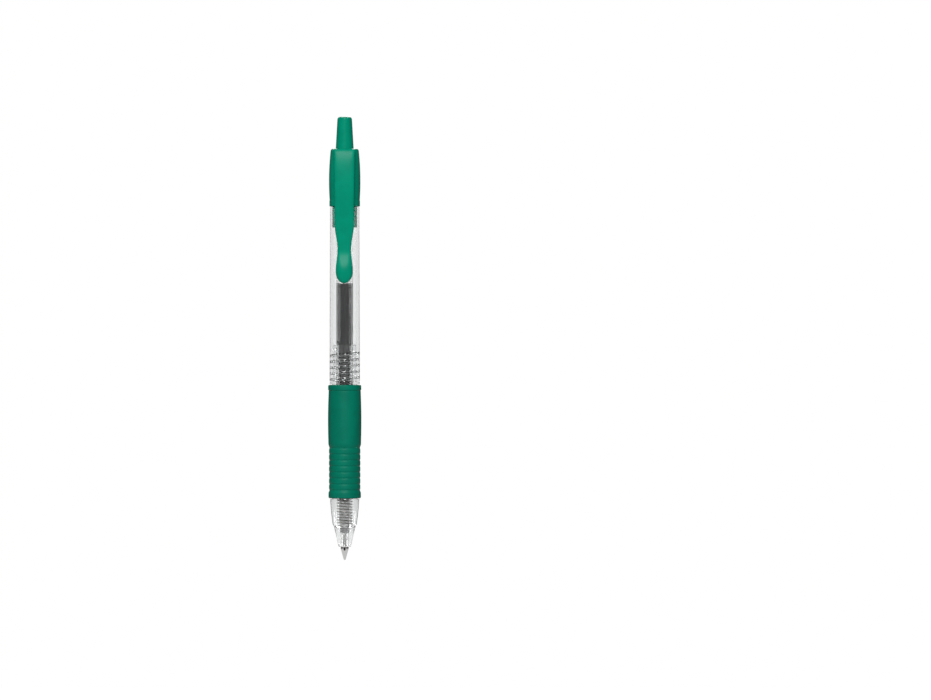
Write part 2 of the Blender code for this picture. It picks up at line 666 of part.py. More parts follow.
def make_knock_button(bench, finish):
    """Tapered button with guide lugs, hollow from below, toothed at its lower end."""
    profile = [
        (0, KNOCK_TOP_Z),
        (KNOCK_TOP_RADIUS - KNOCK_ROUND, KNOCK_TOP_Z),
        (KNOCK_TOP_RADIUS - KNOCK_ROUND * 0.3, KNOCK_TOP_Z - KNOCK_ROUND * 0.3),
        (KNOCK_TOP_RADIUS, KNOCK_TOP_Z - KNOCK_ROUND),
        (KNOCK_RADIUS, CAP_TOP_Z),
        (KNOCK_RADIUS, KNOCK_CROWN_Z),
        (0, KNOCK_CROWN_Z),
    ]
    button = bench.place("knock_button", turned("knock_button", profile), finish)
    for lug in cross_bars(bench, "lug", LUG_WIDTH, LUG_RADIUS, LUG_BOTTOM_Z, LUG_TOP_Z):
        boolean(button, lug, "UNION")
    bore_bottom = KNOCK_CROWN_Z - CUT_MARGIN
    bore = [(0, CAP_TOP_Z), (KNOCK_BORE, CAP_TOP_Z), (KNOCK_BORE, bore_bottom), (0, bore_bottom)]
    boolean(button, bench.place("button_bore", turned("button_bore", bore)), "DIFFERENCE")
    cut_crown(bench, button, "button_notch", KNOCK_CROWN_Z)


def make_cam_rotor(bench, finish):
    """Splined rotor: boss on the refill's tail, toothed crown, stem in the button's bore."""
    boss_radius = ROTOR_RADIUS - ROTOR_BOSS_STEP
    profile = [
        (0, ROTOR_CREST_Z),
        (ROTOR_RADIUS, ROTOR_CREST_Z),
        (ROTOR_RADIUS, ROTOR_BODY_Z + ROTOR_BOSS_STEP),
        (boss_radius, ROTOR_BODY_Z),
        (boss_radius, ROTOR_BOTTOM_Z),
        (0, ROTOR_BOTTOM_Z),
    ]
    rotor = bench.place("cam_rotor", turned("cam_rotor", profile), finish)
    splines = cross_bars(bench, "spline", LUG_WIDTH, LUG_RADIUS, SPLINE_BOTTOM_Z, SPLINE_TOP_Z)
    for spline in splines:
        boolean(rotor, spline, "UNION")
    cut_crown(bench, rotor, "rotor_notch", ROTOR_CREST_Z)
    stem_top = ROTOR_CREST_Z + ROTOR_STEM_LENGTH
    stem_bottom = ROTOR_CREST_Z - 2 * CROWN_DEPTH
    stem = [
        (0, stem_top),
        (ROTOR_STEM_RADIUS, stem_top),
        (ROTOR_STEM_RADIUS, stem_bottom),
        (0, stem_bottom),
    ]
    boolean(rotor, bench.place("rotor_stem", turned("rotor_stem", stem)), "UNION")


def clip_section(height):
    """Half width, front and back distance from the axis, and roundness of the clip at a height."""
    neck_z = CLIP_TOP_Z - CLIP_NECK
    shoulder_z = CLIP_TOP_Z - CLIP_SHOULDER
    shoulder = CLIP_WIDTH / 2 - CLIP_TAPER
    rest = CAP_RADIUS + CLIP_GAP
    foot = barrel_radius(CLIP_BULB_Z) + CLIP_GAP
    crest = rest + CLIP_THICKNESS
    neck_front = rest + CLIP_NECK_THICKNESS
    bulb_front = foot + CLIP_BULB_THICKNESS
    root_front = CLIP_ROOT_BACK + CLIP_ROOT_THICKNESS
    back = min(CLIP_ROOT_BACK, rest - CLIP_SKIRT)
    bulb_back = foot - CLIP_SKIRT
    if height >= neck_z:
        if height >= shoulder_z:
            width = mix(CLIP_WIDTH / 2, shoulder, (CLIP_TOP_Z - height) / CLIP_SHOULDER)
        else:
            share = (shoulder_z - height) / (shoulder_z - neck_z)
            width = mix(shoulder, CLIP_NECK_WIDTH / 2, ease(share))
        arch_z = CLIP_TOP_Z - CLIP_ARCH
        if height >= arch_z:
            climb = math.sqrt(max(0, 1 - ((height - arch_z) / CLIP_ARCH) ** 2))
            front = mix(root_front, crest, climb)
        else:
            front = mix(crest, neck_front, ease((arch_z - height) / (arch_z - neck_z)))
        return width, front, back, 5
    if height >= CLIP_BULB_Z:
        share = ease((neck_z - height) / (neck_z - CLIP_BULB_Z))
        width = mix(CLIP_NECK_WIDTH, CLIP_BULB_WIDTH, share) / 2
        return width, mix(neck_front, bulb_front, share), mix(back, bulb_back, share), mix(5, 2.5, share)
    shrink = math.sqrt(max(0, 1 - ((CLIP_BULB_Z - height) / (CLIP_BULB_Z - CLIP_BOTTOM_Z)) ** 2))
    middle = (bulb_front + foot) / 2
    width = CLIP_BULB_WIDTH / 2 * shrink
    return width, mix(middle, bulb_front, shrink), mix(middle, bulb_back, shrink), 2.5


def clip_heights():
    """Heights of the clip's rings, close together where it curves."""
    shares = [math.sin(math.pi / 2 * step / ARC_STEPS) for step in range(ARC_STEPS)]
    arch_z = CLIP_TOP_Z - CLIP_ARCH
    neck_z = CLIP_TOP_Z - CLIP_NECK
    heights = [mix(arch_z, CLIP_TOP_Z, share) for share in reversed(shares)]
    heights.insert(0, CLIP_TOP_Z)
    heights += [mix(arch_z, neck_z, step / 8) for step in range(1, 9)]
    heights += [mix(neck_z, CLIP_BULB_Z, step / ARC_STEPS) for step in range(1, ARC_STEPS + 1)]
    heights += [mix(CLIP_BULB_Z, CLIP_BOTTOM_Z, share) for share in shares[1:]]
    return heights


def clip_solid(name):
    """The clip as a loft of rounded sections, closed at both ends."""
    shape = bmesh.new()
    rings = []
    for height in clip_heights():
        width, front, back, roundness = clip_section(height)
        ring = []
        for number in range(CLIP_RING_POINTS):
            angle = math.tau * (number + 0.5) / CLIP_RING_POINTS
            across = math.copysign(abs(math.cos(angle)) ** (2 / roundness), math.cos(angle))
            deep = math.copysign(abs(math.sin(angle)) ** (2 / roundness), math.sin(angle))
            y = -(front + back) / 2 + deep * (front - back) / 2
            ring.append(shape.verts.new((width * across, y, height)))
        rings.append(ring)
    for upper, lower in zip(rings, rings[1:]):
        for number in range(CLIP_RING_POINTS):
            after = (number + 1) % CLIP_RING_POINTS
            shape.faces.new((upper[number], lower[number], lower[after], upper[after]))
    shape.faces.new(rings[0])
    shape.faces.new(reversed(rings[-1]))
    bmesh.ops.recalc_face_normals(shape, faces=shape.faces)
    mesh = bpy.data.meshes.new(name)
    shape.to_mesh(mesh)
    shape.free()
    return crease(mesh)


def make_pocket_clip(bench, finish):
    """Clip with its hinge line at its top edge, hollowed to clear the cap and the barrel."""
    pivot = (0, -CLIP_ROOT_BACK, CLIP_TOP_Z)
    clip = bench.place("pocket_clip", clip_solid("pocket_clip"), finish, pivot)
    rest = CAP_RADIUS + CLIP_GAP
    foot = barrel_radius(CLIP_BULB_Z) + CLIP_GAP
    shoulder_z = CLIP_TOP_Z - CLIP_SHOULDER
    neck_z = CLIP_TOP_Z - CLIP_NECK
    end_z = CLIP_BOTTOM_Z - CUT_MARGIN
    clearance = [
        (0, CLIP_ROOT_Z),
        (rest, CLIP_ROOT_Z),
        (rest, shoulder_z),
        (foot, neck_z),
        (foot, end_z),
        (0, end_z),
    ]
    cutter = bench.place("clip_clearance", turned("clip_clearance", clearance))
    boolean(clip, cutter, "DIFFERENCE")


def main():
    for old in list(bpy.data.objects):
        bpy.data.objects.remove(old)
    bench = Bench()
    green = material("green_plastic", GREEN, 0.28)
    rubber = material("green_rubber", GRIP_GREEN, 0.55)
    clear = material("clear_plastic", CLEAR, 0.05, transmission=1.0)
    milky = material("milky_plastic", MILKY, 0.3, transmission=0.6)
    ink = material("ink", INK, 0.3)
    grease = material("grease", CLEAR, 0.2, transmission=0.8)
    grey = material("grey_plastic", GREY, 0.35)
    steel = material("steel", STEEL, 0.22, metallic=1.0)
    make_barrel(bench, clear)
    make_clip_cap(bench, green)
    make_pocket_clip(bench, green)
    make_knock_button(bench, green)
    make_cam_rotor(bench, milky)
    make_front_section(bench, clear)
    make_rubber_grip(bench, rubber)
    make_return_spring(bench, steel)
    make_ink_tube(bench, milky)
    make_filling(bench, "ink_column", ink, PLUG_TOP_Z + SEAT_GAP, INK_TOP_Z)
    make_filling(bench, "ink_follower", grease, FOLLOWER_BOTTOM_Z, FOLLOWER_TOP_Z)
    make_tail_plug(bench, milky)
    make_tip_holder(bench, grey)
    make_writing_tip(bench, steel)
    make_tip_ball(bench, steel)


main()
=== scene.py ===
"""Looks of a retractable gel pen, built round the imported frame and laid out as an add-on.

Sizes are in metres, and the defaults of the settings are written in millimetres. A turned piece is an
outline of (radius, height, rounding) corners beside the pen's axis, spun round it. Heights come from the
boxes of the frame's nodes, so each piece sits where its node is. The pen stands on its tip, with its clip
towards the camera.
"""

import math

import bmesh
import bpy
from bpy.props import FloatProperty, FloatVectorProperty, IntProperty, PointerProperty
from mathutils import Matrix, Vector


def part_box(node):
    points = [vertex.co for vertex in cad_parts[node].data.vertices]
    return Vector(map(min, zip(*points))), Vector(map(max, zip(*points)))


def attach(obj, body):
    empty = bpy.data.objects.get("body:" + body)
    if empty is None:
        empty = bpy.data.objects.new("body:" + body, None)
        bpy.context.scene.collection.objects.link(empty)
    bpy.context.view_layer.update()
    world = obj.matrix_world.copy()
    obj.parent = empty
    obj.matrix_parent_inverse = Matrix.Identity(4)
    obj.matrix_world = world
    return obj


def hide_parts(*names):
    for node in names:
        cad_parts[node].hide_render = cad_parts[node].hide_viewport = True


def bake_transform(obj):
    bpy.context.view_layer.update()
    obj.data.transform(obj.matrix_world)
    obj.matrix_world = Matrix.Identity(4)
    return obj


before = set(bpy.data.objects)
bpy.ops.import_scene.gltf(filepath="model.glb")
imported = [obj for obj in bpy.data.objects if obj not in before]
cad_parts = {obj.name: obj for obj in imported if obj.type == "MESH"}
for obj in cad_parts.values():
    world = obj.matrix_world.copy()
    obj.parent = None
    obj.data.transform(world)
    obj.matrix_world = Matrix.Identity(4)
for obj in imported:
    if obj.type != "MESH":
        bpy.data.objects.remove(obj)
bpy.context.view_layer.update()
BOXES = {name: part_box(name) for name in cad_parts}

bl_info = {
    "name": "Gel Pen",
    "version": (1, 0, 0),
    "blender": (4, 5, 0),
    "location": "View3D > Sidebar > Gel Pen",
    "description": "Models the pieces of a retractable gel pen round its frame",
    "category": "Add Mesh",
}

MM = 0.001
WELD = 0.0005 * MM
SEAT_GAP = 0.25 * MM  # between pieces that bear on each other, as in the frame
RUN_GAP = 0.3 * MM  # between pieces that pass each other
FINE_EDGE = 0.1 * MM  # rounding of small and inner edges
TURN_STEPS = 128
CORNER_STEPS = 6
CAP_STEPS = 40
GRIP_STEPS = 36
RIB_STEPS = 14
TAPER_STEPS = 24
LIQUID_STEPS = 12
SEAT_STEPS = 12
BALL_STEPS = 24
SHARP_ANGLE = math.radians(40)
SEAT_ANGLE = math.radians(40)  # how far the seat goes round the ball, above and below its middle
SKIN_RELIEF = 0.3
STREAK_RELIEF = 0.2
CLEAR_DENSITY = 170.0
HOLDER_MOTTLE = 0.2
WHITE = (1, 1, 1, 1)
GLASS = {"Transmission Weight": 1}
METAL = {"Metallic": 1}
KEY_FROM = (-0.04, -0.8, 0.5)
FILL_FROM = (0.0, 0.8, 0.5)
LAMP_SPREAD = math.radians(25)

# What the pen mirrors: brightness in bands, each from a share of the way round from back to front
ROOM_BANDS = ((0.0, 0.15), (0.7, 0.22))
INNER_BANDS = ((0.0, 1.0), (0.35, 1.9), (0.63, 4.8), (0.78, 0.03), (0.8775, 0.8))


def bottom(node):
    """Height of a node's lowest point."""
    return BOXES[node][0].z


def top(node):
    """Height of a node's highest point."""
    return BOXES[node][1].z


def reach(node):
    """How far a node stands out sideways from the pen's axis."""
    low, high = BOXES[node]
    return (high.x - low.x) / 2


AXIS_Y = (BOXES["rubber_grip"][0].y + BOXES["rubber_grip"][1].y) / 2
TIP_Z = bottom("tip_ball")


def length(label, about, millimetres):
    """A size property."""
    return FloatProperty(
        name=label, description=about, default=millimetres * MM, min=0, unit="LENGTH", precision=5
    )


def number(label, about, default):
    """A property without a unit."""
    return FloatProperty(name=label, description=about, default=default, min=0)


def count(label, about, default):
    """A whole-number property."""
    return IntProperty(name=label, description=about, default=default, min=1)


def colour(label, about, default):
    """A scene-linear colour property."""
    return FloatVectorProperty(
        name=label, description=about, default=default, size=3, min=0, max=1, subtype="COLOR"
    )


class BarrelSizes(bpy.types.PropertyGroup):
    top_radius: length("Top radius", "Outside, where the barrel meets the cap", 4.65)
    bore: length("Bore", "Radius of the bore", 3.95)
    socket: length("Socket", "Radius of the socket for the cap's spigot", 4.15)
    socket_depth: length("Socket depth", "Depth of that socket", 6.7)
    socket_taper: number("Socket taper", "Length of the socket's taper, for each step inwards", 8.0)
    edge: length("Edge", "Rounding of the tube's ends", 0.12)


class ThreadSizes(bpy.types.PropertyGroup):
    pitch: length("Pitch", "Rise of the thread in one turn", 1.9)
    turns: count("Turns", "Turns of the ridge", 4)
    spigot: length("Spigot radius", "Radius of the spigot under the ridge", 3.75)
    ridge: length("Ridge", "Radius of the round ridge", 0.36)
    groove: length("Groove", "Radius of the round groove in the barrel", 0.44)
    lead_in: length("Lead-in", "Barrel's foot to the start of the ridge", 1.2)
    run_out: count("Run-out", "Turns that the groove runs on below the ridge", 2)
    overrun: number("Overrun", "Turns that the groove runs on above the ridge", 0.5)


class CapSizes(bpy.types.PropertyGroup):
    taper: length("Taper", "How much narrower the top edge is than the crest", 0.565)
    crest_drop: length("Crest drop", "From the top down to the widest place", 10.2)
    edge: length("Edge", "Rounding of the top edge", 0.7)
    lip_height: length("Lip height", "Height of the bead round the lower edge", 1.9)
    lip: length("Lip", "How far the bead stands out", 0.08)
    guide: length("Guide", "Radius of the button's guide", 3.05)
    bore: length("Bore", "Radius of the bore below the guide", 3.5)
    rib_end: length("Guide depth", "From the top down to the guide's lower end", 12.4)
    spigot: length("Spigot", "Radius of the spigot in the barrel", 3.95)
    slot_width: length("Slot width", "Width of the slots between the guide ribs", 2.4)
    slot_radius: length("Slot radius", "How far the slots reach from the axis", 3.45)
    roof: length("Roof", "Thickness of the top over the slots", 1.0)
    bead_edge: length("Bead edge", "Rounding over the bead", 0.06)
    foot_edge: length("Foot edge", "Rounding under the bead", 0.3)
    spigot_edge: length("Spigot edge", "Rounding of the spigot's end", 0.12)
    bore_edge: length("Bore edge", "Rounding inside the spigot's end", 0.08)
    guide_edge: length("Guide edge", "Rounding of the mouth round the button", 0.15)


class ClipSizes(bpy.types.PropertyGroup):
    width: length("Width", "At the top", 6.6)
    taper: length("Taper", "Each side, down to the shoulder", 0.22)
    shoulder: length("Shoulder", "From the top down to the shoulder", 23.5)
    neck: length("Neck", "From the top down to the narrowest place", 32.0)
    neck_width: length("Neck width", "At the narrowest place", 4.3)
    bulb: length("Bulb", "From the top down to the foot's widest place", 38.9)
    bulb_width: length("Bulb width", "At the foot's widest place", 5.44)
    thickness: length("Thickness", "Over the cap", 1.35)
    neck_thickness: length("Neck thickness", "At the narrowest place", 1.0)
    bulb_thickness: length("Bulb thickness", "At the foot", 2.37)
    arch: length("Arch", "Length of the rounded top", 12.5)
    root: length("Root", "Length that is moulded into the cap", 5.0)
    root_back: length("Root back", "From the axis to the back of the root", 4.25)
    root_thickness: length("Root thickness", "At the top edge", 0.65)
    clearance: length("Clearance", "Over the cap and the barrel", 0.3)
    bend: length("Bend", "Length that bends, from the top", 8.0)
    skirt: length("Skirt", "How far the sides reach past the back", 0.7)
    squareness: number("Squareness", "Exponent of the rounded cross-section", 5.0)
    foot_squareness: number("Foot squareness", "The same at the foot", 2.5)


class ButtonSizes(bpy.types.PropertyGroup):
    radius: length("Radius", "In the guide", 2.85)
    top_radius: length("Top radius", "At the top edge", 2.28)
    edge: length("Edge", "Rounding of the top edge", 0.95)
    bore: length("Bore", "Radius of the bore from below", 1.9)
    crown: length("Crown", "Height of the toothed lower end, which stays in the cap", 0.8)
    waist: length("Waist", "Rounding where the taper meets the guide", 1.5)
    bore_edge: length("Bore edge", "Rounding of the bore's end", 0.3)
    lug_width: length("Lug width", "Width of the guide lugs", 2.0)
    lug_reach: length("Lug reach", "How far the lugs reach from the axis", 3.2)
    lug_foot: length("Lug foot", "From the lower end up to the lugs", 1.0)
    lug_length: length("Lug length", "Length of the lugs", 4.0)


class GripSizes(bpy.types.PropertyGroup):
    bore: length("Bore", "Radius of the bore", 4.25)
    rim_height: length("Rim height", "Height of the top rim", 1.6)
    rim_inset: length("Rim inset", "Rim inside the widest place", 0.05)
    neck_inset: length("Neck inset", "Groove under the rim", 0.2)
    neck_dip: length("Neck dip", "Groove inside the swell's start", 0.06)
    shoulder_inset: length("Shoulder inset", "Where the swell meets the ribs", 0.12)
    ribs: count("Ribs", "Number of ribs", 8)
    rib_pitch: length("Rib pitch", "From rib to rib", 1.9)
    crest_inset: length("Crest inset", "Ribs inside the widest place", 0.32)
    groove_depth: length("Groove depth", "Between the ribs", 0.18)
    groove_edge: length("Groove edge", "Rounding of the grooves", 0.05)
    first_rise: length("First rise", "First rib over the others", 0.03)
    first_edge: length("First edge", "Rounding of the first rib", 0.2)
    foot_height: length("Foot height", "Plain band below the ribs", 2.0)
    foot_inset: length("Foot inset", "Foot inside the widest place", 0.15)
    foot_edge: length("Foot edge", "Rounding above the foot", 0.3)
    edge: length("Edge", "Rounding of the ends", 0.5)


class FrontSizes(bpy.types.PropertyGroup):
    bore: length("Bore", "Radius of the bore round the refill", 3.2)
    tube: length("Tube", "Radius under the grip", 4.0)
    stop: length("Stop", "Radius of the flange above the grip", 4.75)
    shoulder: length("Shoulder", "Radius below the grip", 4.63)
    taper_foot: length("Taper foot", "Radius where the taper meets the ledge", 3.78)
    ledge: length("Ledge", "Radius under the ledge", 3.45)
    ledge_height: length("Ledge height", "Height of the ledge", 0.4)
    bulge: length("Bulge", "Of the taper, half way down", 0.1)
    mouth: length("Mouth", "Outside radius of the mouth", 1.92)
    mouth_bore: length("Mouth bore", "Radius of the mouth's bore", 1.55)
    collar_bore: length("Collar bore", "Radius round the refill's collar", 1.8)
    chamber: length("Chamber", "Radius of the spring's chamber", 2.85)
    press: length("Press", "Travel of the refill past the latch", 1.5)
    chamfer: length("Chamfer", "At the spigot's end", 0.3)
    edge: length("Edge", "Rounding of the edges", 0.1)


class SpringSizes(bpy.types.PropertyGroup):
    wire: length("Wire", "Diameter of the wire", 0.4)
    curls: count("Curls", "Number of curls", 18)


class RefillSizes(bpy.types.PropertyGroup):
    wall: length("Wall", "Thickness of the tube", 0.35)
    film: length("Film", "How far the ink wets into the tube's wall", 0.01)
    meniscus: length("Meniscus", "How far the ink climbs the wall", 0.45)
    gap: length("Gap", "Between the ink and the follower", 0.02)
    collar: length("Collar", "Radius of the collar that shows", 1.5)
    grey_ring: length("Grey ring", "Height of the collar's grey part", 1.5)
    stem: length("Stem", "Radius of the stem in the spring", 1.85)
    plug: length("Plug", "Radius of the plugs in the tube", 2.1)
    channel: length("Channel", "Radius of the holder's bore", 1.0)
    flange: length("Flange", "Thickness of the holder's flange", 1.2)
    plug_length: length("Plug length", "Of the holder in the tube", 5.0)
    tail_flange: length("Tail flange", "Thickness of the tail's flange", 0.8)
    vent: length("Vent", "Radius of the tail's vent", 0.5)
    plug_edge: length("Plug edge", "Rounding of the tail's end", 0.15)


class TipSizes(bpy.types.PropertyGroup):
    cone: length("Cone", "Length of the cone", 3.5)
    tube: length("Tube", "Length of the tube that shows", 5.1)
    shank: length("Shank", "Radius of the shank in the holder", 0.8)
    shoulder_edge: length("Shoulder edge", "Rounding of the tube's top", 0.12)
    cone_edge: length("Cone edge", "Rounding where the cone meets the tube", 0.8)
    bore: length("Bore", "Radius of the ink channel in the shank", 0.45)
    bore_edge: length("Bore edge", "Rounding of the channel's end", 0.05)
    feed: length("Feed", "Radius of the hole that feeds the ball", 0.15)
    feed_head: length("Feed head", "From the ball's middle to the hole's top", 1.2)
    bore_foot: length("Bore foot", "From the ball's middle to the channel's foot", 1.6)
    seat_gap: length("Seat gap", "Round the ball", 0.03)
    lip: length("Lip", "Wall round the ball", 0.07)
    lip_edge: length("Lip edge", "Rounding of that wall", 0.02)
    # Size of the dark oval painted on the cone's front: a painted reflection, not a real dimple
    reflection_width: length("Reflection width", "Of the oval mark on the cone", 0.7)
    reflection_height: length("Reflection height", "Of the oval mark on the cone", 1.1)


class Colours(bpy.types.PropertyGroup):
    green: colour("Green", "Cap, clip and button", (0.0004, 0.215, 0.132))
    green_shade: colour("Green shade", "Deeper patches in the green plastic", (0.0004, 0.192, 0.117))
    rubber: colour("Rubber", "Grip", (0.0004, 0.136, 0.086))
    rubber_shade: colour("Rubber shade", "Deeper patches in the rubber", (0.0004, 0.119, 0.075))
    clear: colour("Clear", "Barrel and front section", (0.93, 0.935, 0.935))
    clear_shade: colour("Clear shade", "Flow marks in the clear plastic", (0.89, 0.9, 0.9))
    clear_depth: colour("Clear depth", "What thick clear plastic lets through", (0.65, 0.66, 0.66))
    milky: colour("Milky", "Refill's tube and follower", (0.95, 0.95, 0.95))
    milky_shade: colour("Milky shade", "Flow marks in the refill's tube", (0.9, 0.9, 0.9))
    stem: colour("Stem", "Holder inside the spring", (0.96, 0.96, 0.95))
    ink: colour("Ink", "Ink behind the refill's wall", (0.024, 0.024, 0.026))
    ink_shade: colour("Ink shade", "Thicker streaks of ink", (0.016, 0.016, 0.018))
    collar: colour("Collar", "Grey holder of the tip", (0.25, 0.25, 0.25))
    holder_shade: colour("Holder shade", "Deeper patches in the holder", (0.1, 0.1, 0.1))
    steel: colour("Steel", "Tip and ball", (0.64, 0.64, 0.63))
    steel_shade: colour("Steel shade", "Rings of the turned steel", (0.48, 0.48, 0.4725))
    # Painted reflection: dark colour of the oval on the front of the cone, where the steel has no real
    # mark
    painted_reflection: colour("Painted reflection", "Oval mark on the cone", (0.02, 0.02, 0.02))
    wire: colour("Wire", "Spring", (0.19, 0.182, 0.172))
    wire_shade: colour("Wire shade", "Darker places on the spring", (0.114, 0.1092, 0.1032))
    rotor: colour("Rotor", "Cam rotor", (0.78, 0.79, 0.79))
    rotor_shade: colour("Rotor shade", "Flow marks in the cam rotor", (0.68, 0.69, 0.69))


class StageSizes(bpy.types.PropertyGroup):
    pixel: length("Pixel", "Size of the photograph's pixel at the pen", 0.318)
    columns: count("Columns", "Width of the photograph in pixels", 931)
    rows: count("Rows", "Height of the photograph in pixels", 700)
    axis_column: number("Axis column", "Pixel column of the pen's axis", 344.7)
    tip_row: number("Tip row", "Pixel row of the pen's tip", 560.0)
    lens: number("Lens", "Focal length in millimetres", 200.0)
    floor_drop: length("Floor drop", "From the tip down to the floor", 80)
    floor_size: length("Floor size", "Side of the floor", 1200)
    floor: colour("Floor", "Floor, before its glow", (0.4, 0.4, 0.4))
    floor_shade: colour("Floor shade", "Mottling of the floor", (0.39, 0.39, 0.39))
    floor_glow: number("Floor glow", "Strength that is seen but lights nothing", 0.5)
    ambient: number("Ambient", "Strength of the room's soft light", 0.06)
    key_power: number("Key power", "Strength of the key lamp", 4.1)
    fill_power: number("Fill power", "Strength of the lamp behind the pen", 2.2)


class GelPenSettings(bpy.types.PropertyGroup):
    barrel: PointerProperty(type=BarrelSizes)
    thread: PointerProperty(type=ThreadSizes)
    cap: PointerProperty(type=CapSizes)
    clip: PointerProperty(type=ClipSizes)
    button: PointerProperty(type=ButtonSizes)
    grip: PointerProperty(type=GripSizes)
    front: PointerProperty(type=FrontSizes)
    spring: PointerProperty(type=SpringSizes)
    refill: PointerProperty(type=RefillSizes)
    tip: PointerProperty(type=TipSizes)
    colours: PointerProperty(type=Colours)
    stage: PointerProperty(type=StageSizes)


# Shaping

def mix(low, high, share):
    """The value a share of the way from low to high."""
    return low + (high - low) * share


def ease(share):
    """A share from 0 to 1, level at both ends."""
    return (1 - math.cos(math.pi * share)) / 2


def shares(steps):
    """Even shares from 0 to 1."""
    return [step / steps for step in range(steps + 1)]


def rounded(outline):
    """The outline's points, with an arc in place of each corner that has a rounding."""
    points = []
    for index, (radius, height, rounding) in enumerate(outline):
        here = Vector((radius, height))
        if not rounding:
            points.append(here)
            continue
        before = Vector(outline[index - 1][:2]) - here
        after = Vector(outline[(index + 1) % len(outline)][:2]) - here
        run = rounding / math.tan(before.angle(after) / 2)
        run = min(run, before.length / 2, after.length / 2)
        first = here + before.normalized() * run
        last = here + after.normalized() * run
        for share in shares(CORNER_STEPS):
            points.append(first.lerp(here, share).lerp(here.lerp(last, share), share))
    return points


def start(name, primitive, **size):
    """Add a primitive with nothing else selected, and open it in edit mode."""
    bpy.ops.object.select_all(action="DESELECT")
    primitive(**size)
    piece = bpy.context.active_object
    piece.name = name
    piece.data.name = name
    bpy.ops.object.mode_set(mode="EDIT")
    return piece


def close_up():
    """Weld the open mesh, turn its faces outwards and leave edit mode."""
    bpy.ops.mesh.select_all(action="SELECT")
    bpy.ops.mesh.remove_doubles(threshold=WELD)
    bpy.ops.mesh.normals_make_consistent(inside=False)
    bpy.ops.object.mode_set(mode="OBJECT")


def turn(name, outline, steps=TURN_STEPS):
    """Draw an outline in edit mode and spin it round the pen's axis."""
    points = [Vector((point.x, AXIS_Y, point.y)) for point in rounded(outline)]
    if outline[0][0] > 0:
        points.append(points[0])
    piece = start(name, bpy.ops.mesh.primitive_plane_add, size=MM)
    bpy.ops.mesh.merge(type="CENTER")
    bpy.ops.transform.translate(value=points[0])
    for here, there in zip(points, points[1:]):
        bpy.ops.mesh.extrude_region_move(TRANSFORM_OT_translate={"value": there - here})
    bpy.ops.mesh.select_all(action="SELECT")
    bpy.ops.mesh.spin(steps=steps, angle=math.tau, center=(0, AXIS_Y, 0), axis=(0, 0, 1))
    close_up()
    return piece


def block(name, size, centre):
    """A box, for a cut or a lug."""
    piece = start(name, bpy.ops.mesh.primitive_cube_add, size=1)
    bpy.ops.transform.resize(value=size)
    bpy.ops.transform.translate(value=centre)
    bpy.ops.object.mode_set(mode="OBJECT")
    return piece


def apply_modifier(piece, kind, **settings):
    """Add a modifier with its settings and apply it."""
    bpy.context.view_layer.objects.active = piece
    bpy.ops.object.modifier_add(type=kind)
    step = piece.modifiers[-1]
    for name, value in settings.items():
        setattr(step, name, value)
    bpy.ops.object.modifier_apply(modifier=step.name)


def combine(piece, other, operation):
    """Join another body on or cut it out; the other body goes."""
    apply_modifier(piece, "BOOLEAN", object=other, operation=operation)
    bpy.data.objects.remove(other)


def coil(name, radius, wire, pitch, turns, height, hand=1, sides=16, steps=64):
    """A round wire wound about the pen's axis, with closed ends."""
    piece = start(name, bpy.ops.mesh.primitive_circle_add, vertices=sides, radius=wire)
    bpy.ops.transform.rotate(value=math.pi / 2, orient_axis="X", center_override=(0, 0, 0))
    bpy.ops.transform.translate(value=(radius, 0, 0))
    bpy.ops.object.mode_set(mode="OBJECT")
    cuts = round(steps * turns)
    apply_modifier(
        piece,
        "SCREW",
        angle=hand * math.tau * turns,
        screw_offset=pitch * turns,
        steps=cuts,
        render_steps=cuts,
    )
    bpy.ops.object.mode_set(mode="EDIT")
    bpy.ops.mesh.select_all(action="SELECT")
    bpy.ops.mesh.fill_holes(sides=0)
    bpy.ops.mesh.select_all(action="SELECT")
    bpy.ops.transform.translate(value=(0, AXIS_Y, height))
    close_up()
    return piece


def dress(piece, skin, node):
    """Shade a finished mesh, give it its finish, and let it stand for its node."""
    bpy.ops.object.select_all(action="DESELECT")
    piece.select_set(True)
    bpy.context.view_layer.objects.active = piece
    bpy.ops.object.shade_smooth_by_angle(angle=SHARP_ANGLE)
    apply_modifier(piece, "WEIGHTED_NORMAL", keep_sharp=True)
    piece.data.materials.clear()
    piece.data.materials.append(skin)
    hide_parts(node)


# Finishes

def place(tree, kind, inputs=(), **settings):
    """Add a node. An input given as a socket is linked, and any other value is set."""
    node = tree.nodes.new(kind)
    for name, value in settings.items():
        setattr(node, name, value)
    for name, value in dict(inputs).items():
        if isinstance(value, bpy.types.NodeSocket):
            tree.links.new(value, node.inputs[name])
        else:
            node.inputs[name].default_value = value
    return node


def reckon(tree, operation, first, second):
    """Arithmetic on two values."""
    return place(tree, "ShaderNodeMath", {0: first, 1: second}, operation=operation).outputs[0]


def reckon_vector(tree, operation, *values, result="Vector"):
    """Arithmetic on vectors."""
    return place(tree, "ShaderNodeVectorMath", enumerate(values), operation=operation).outputs[result]


def blended(tree, share, low, high):
    """A colour a share of the way from one to another."""
    return place(tree, "ShaderNodeMix", {0: share, 6: low, 7: high}, data_type="RGBA").outputs[2]


def ranged(tree, value, low, high):
    """A 0 to 1 value as a range."""
    inputs = {"Value": value, "To Min": low, "To Max": high}
    return place(tree, "ShaderNodeMapRange", inputs).outputs["Result"]


def noise(tree, vector, scale, detail):
    """Values of a noise."""
    inputs = {"Vector": vector, "Scale": scale, "Detail": detail}
    return place(tree, "ShaderNodeTexNoise", inputs).outputs["Fac"]


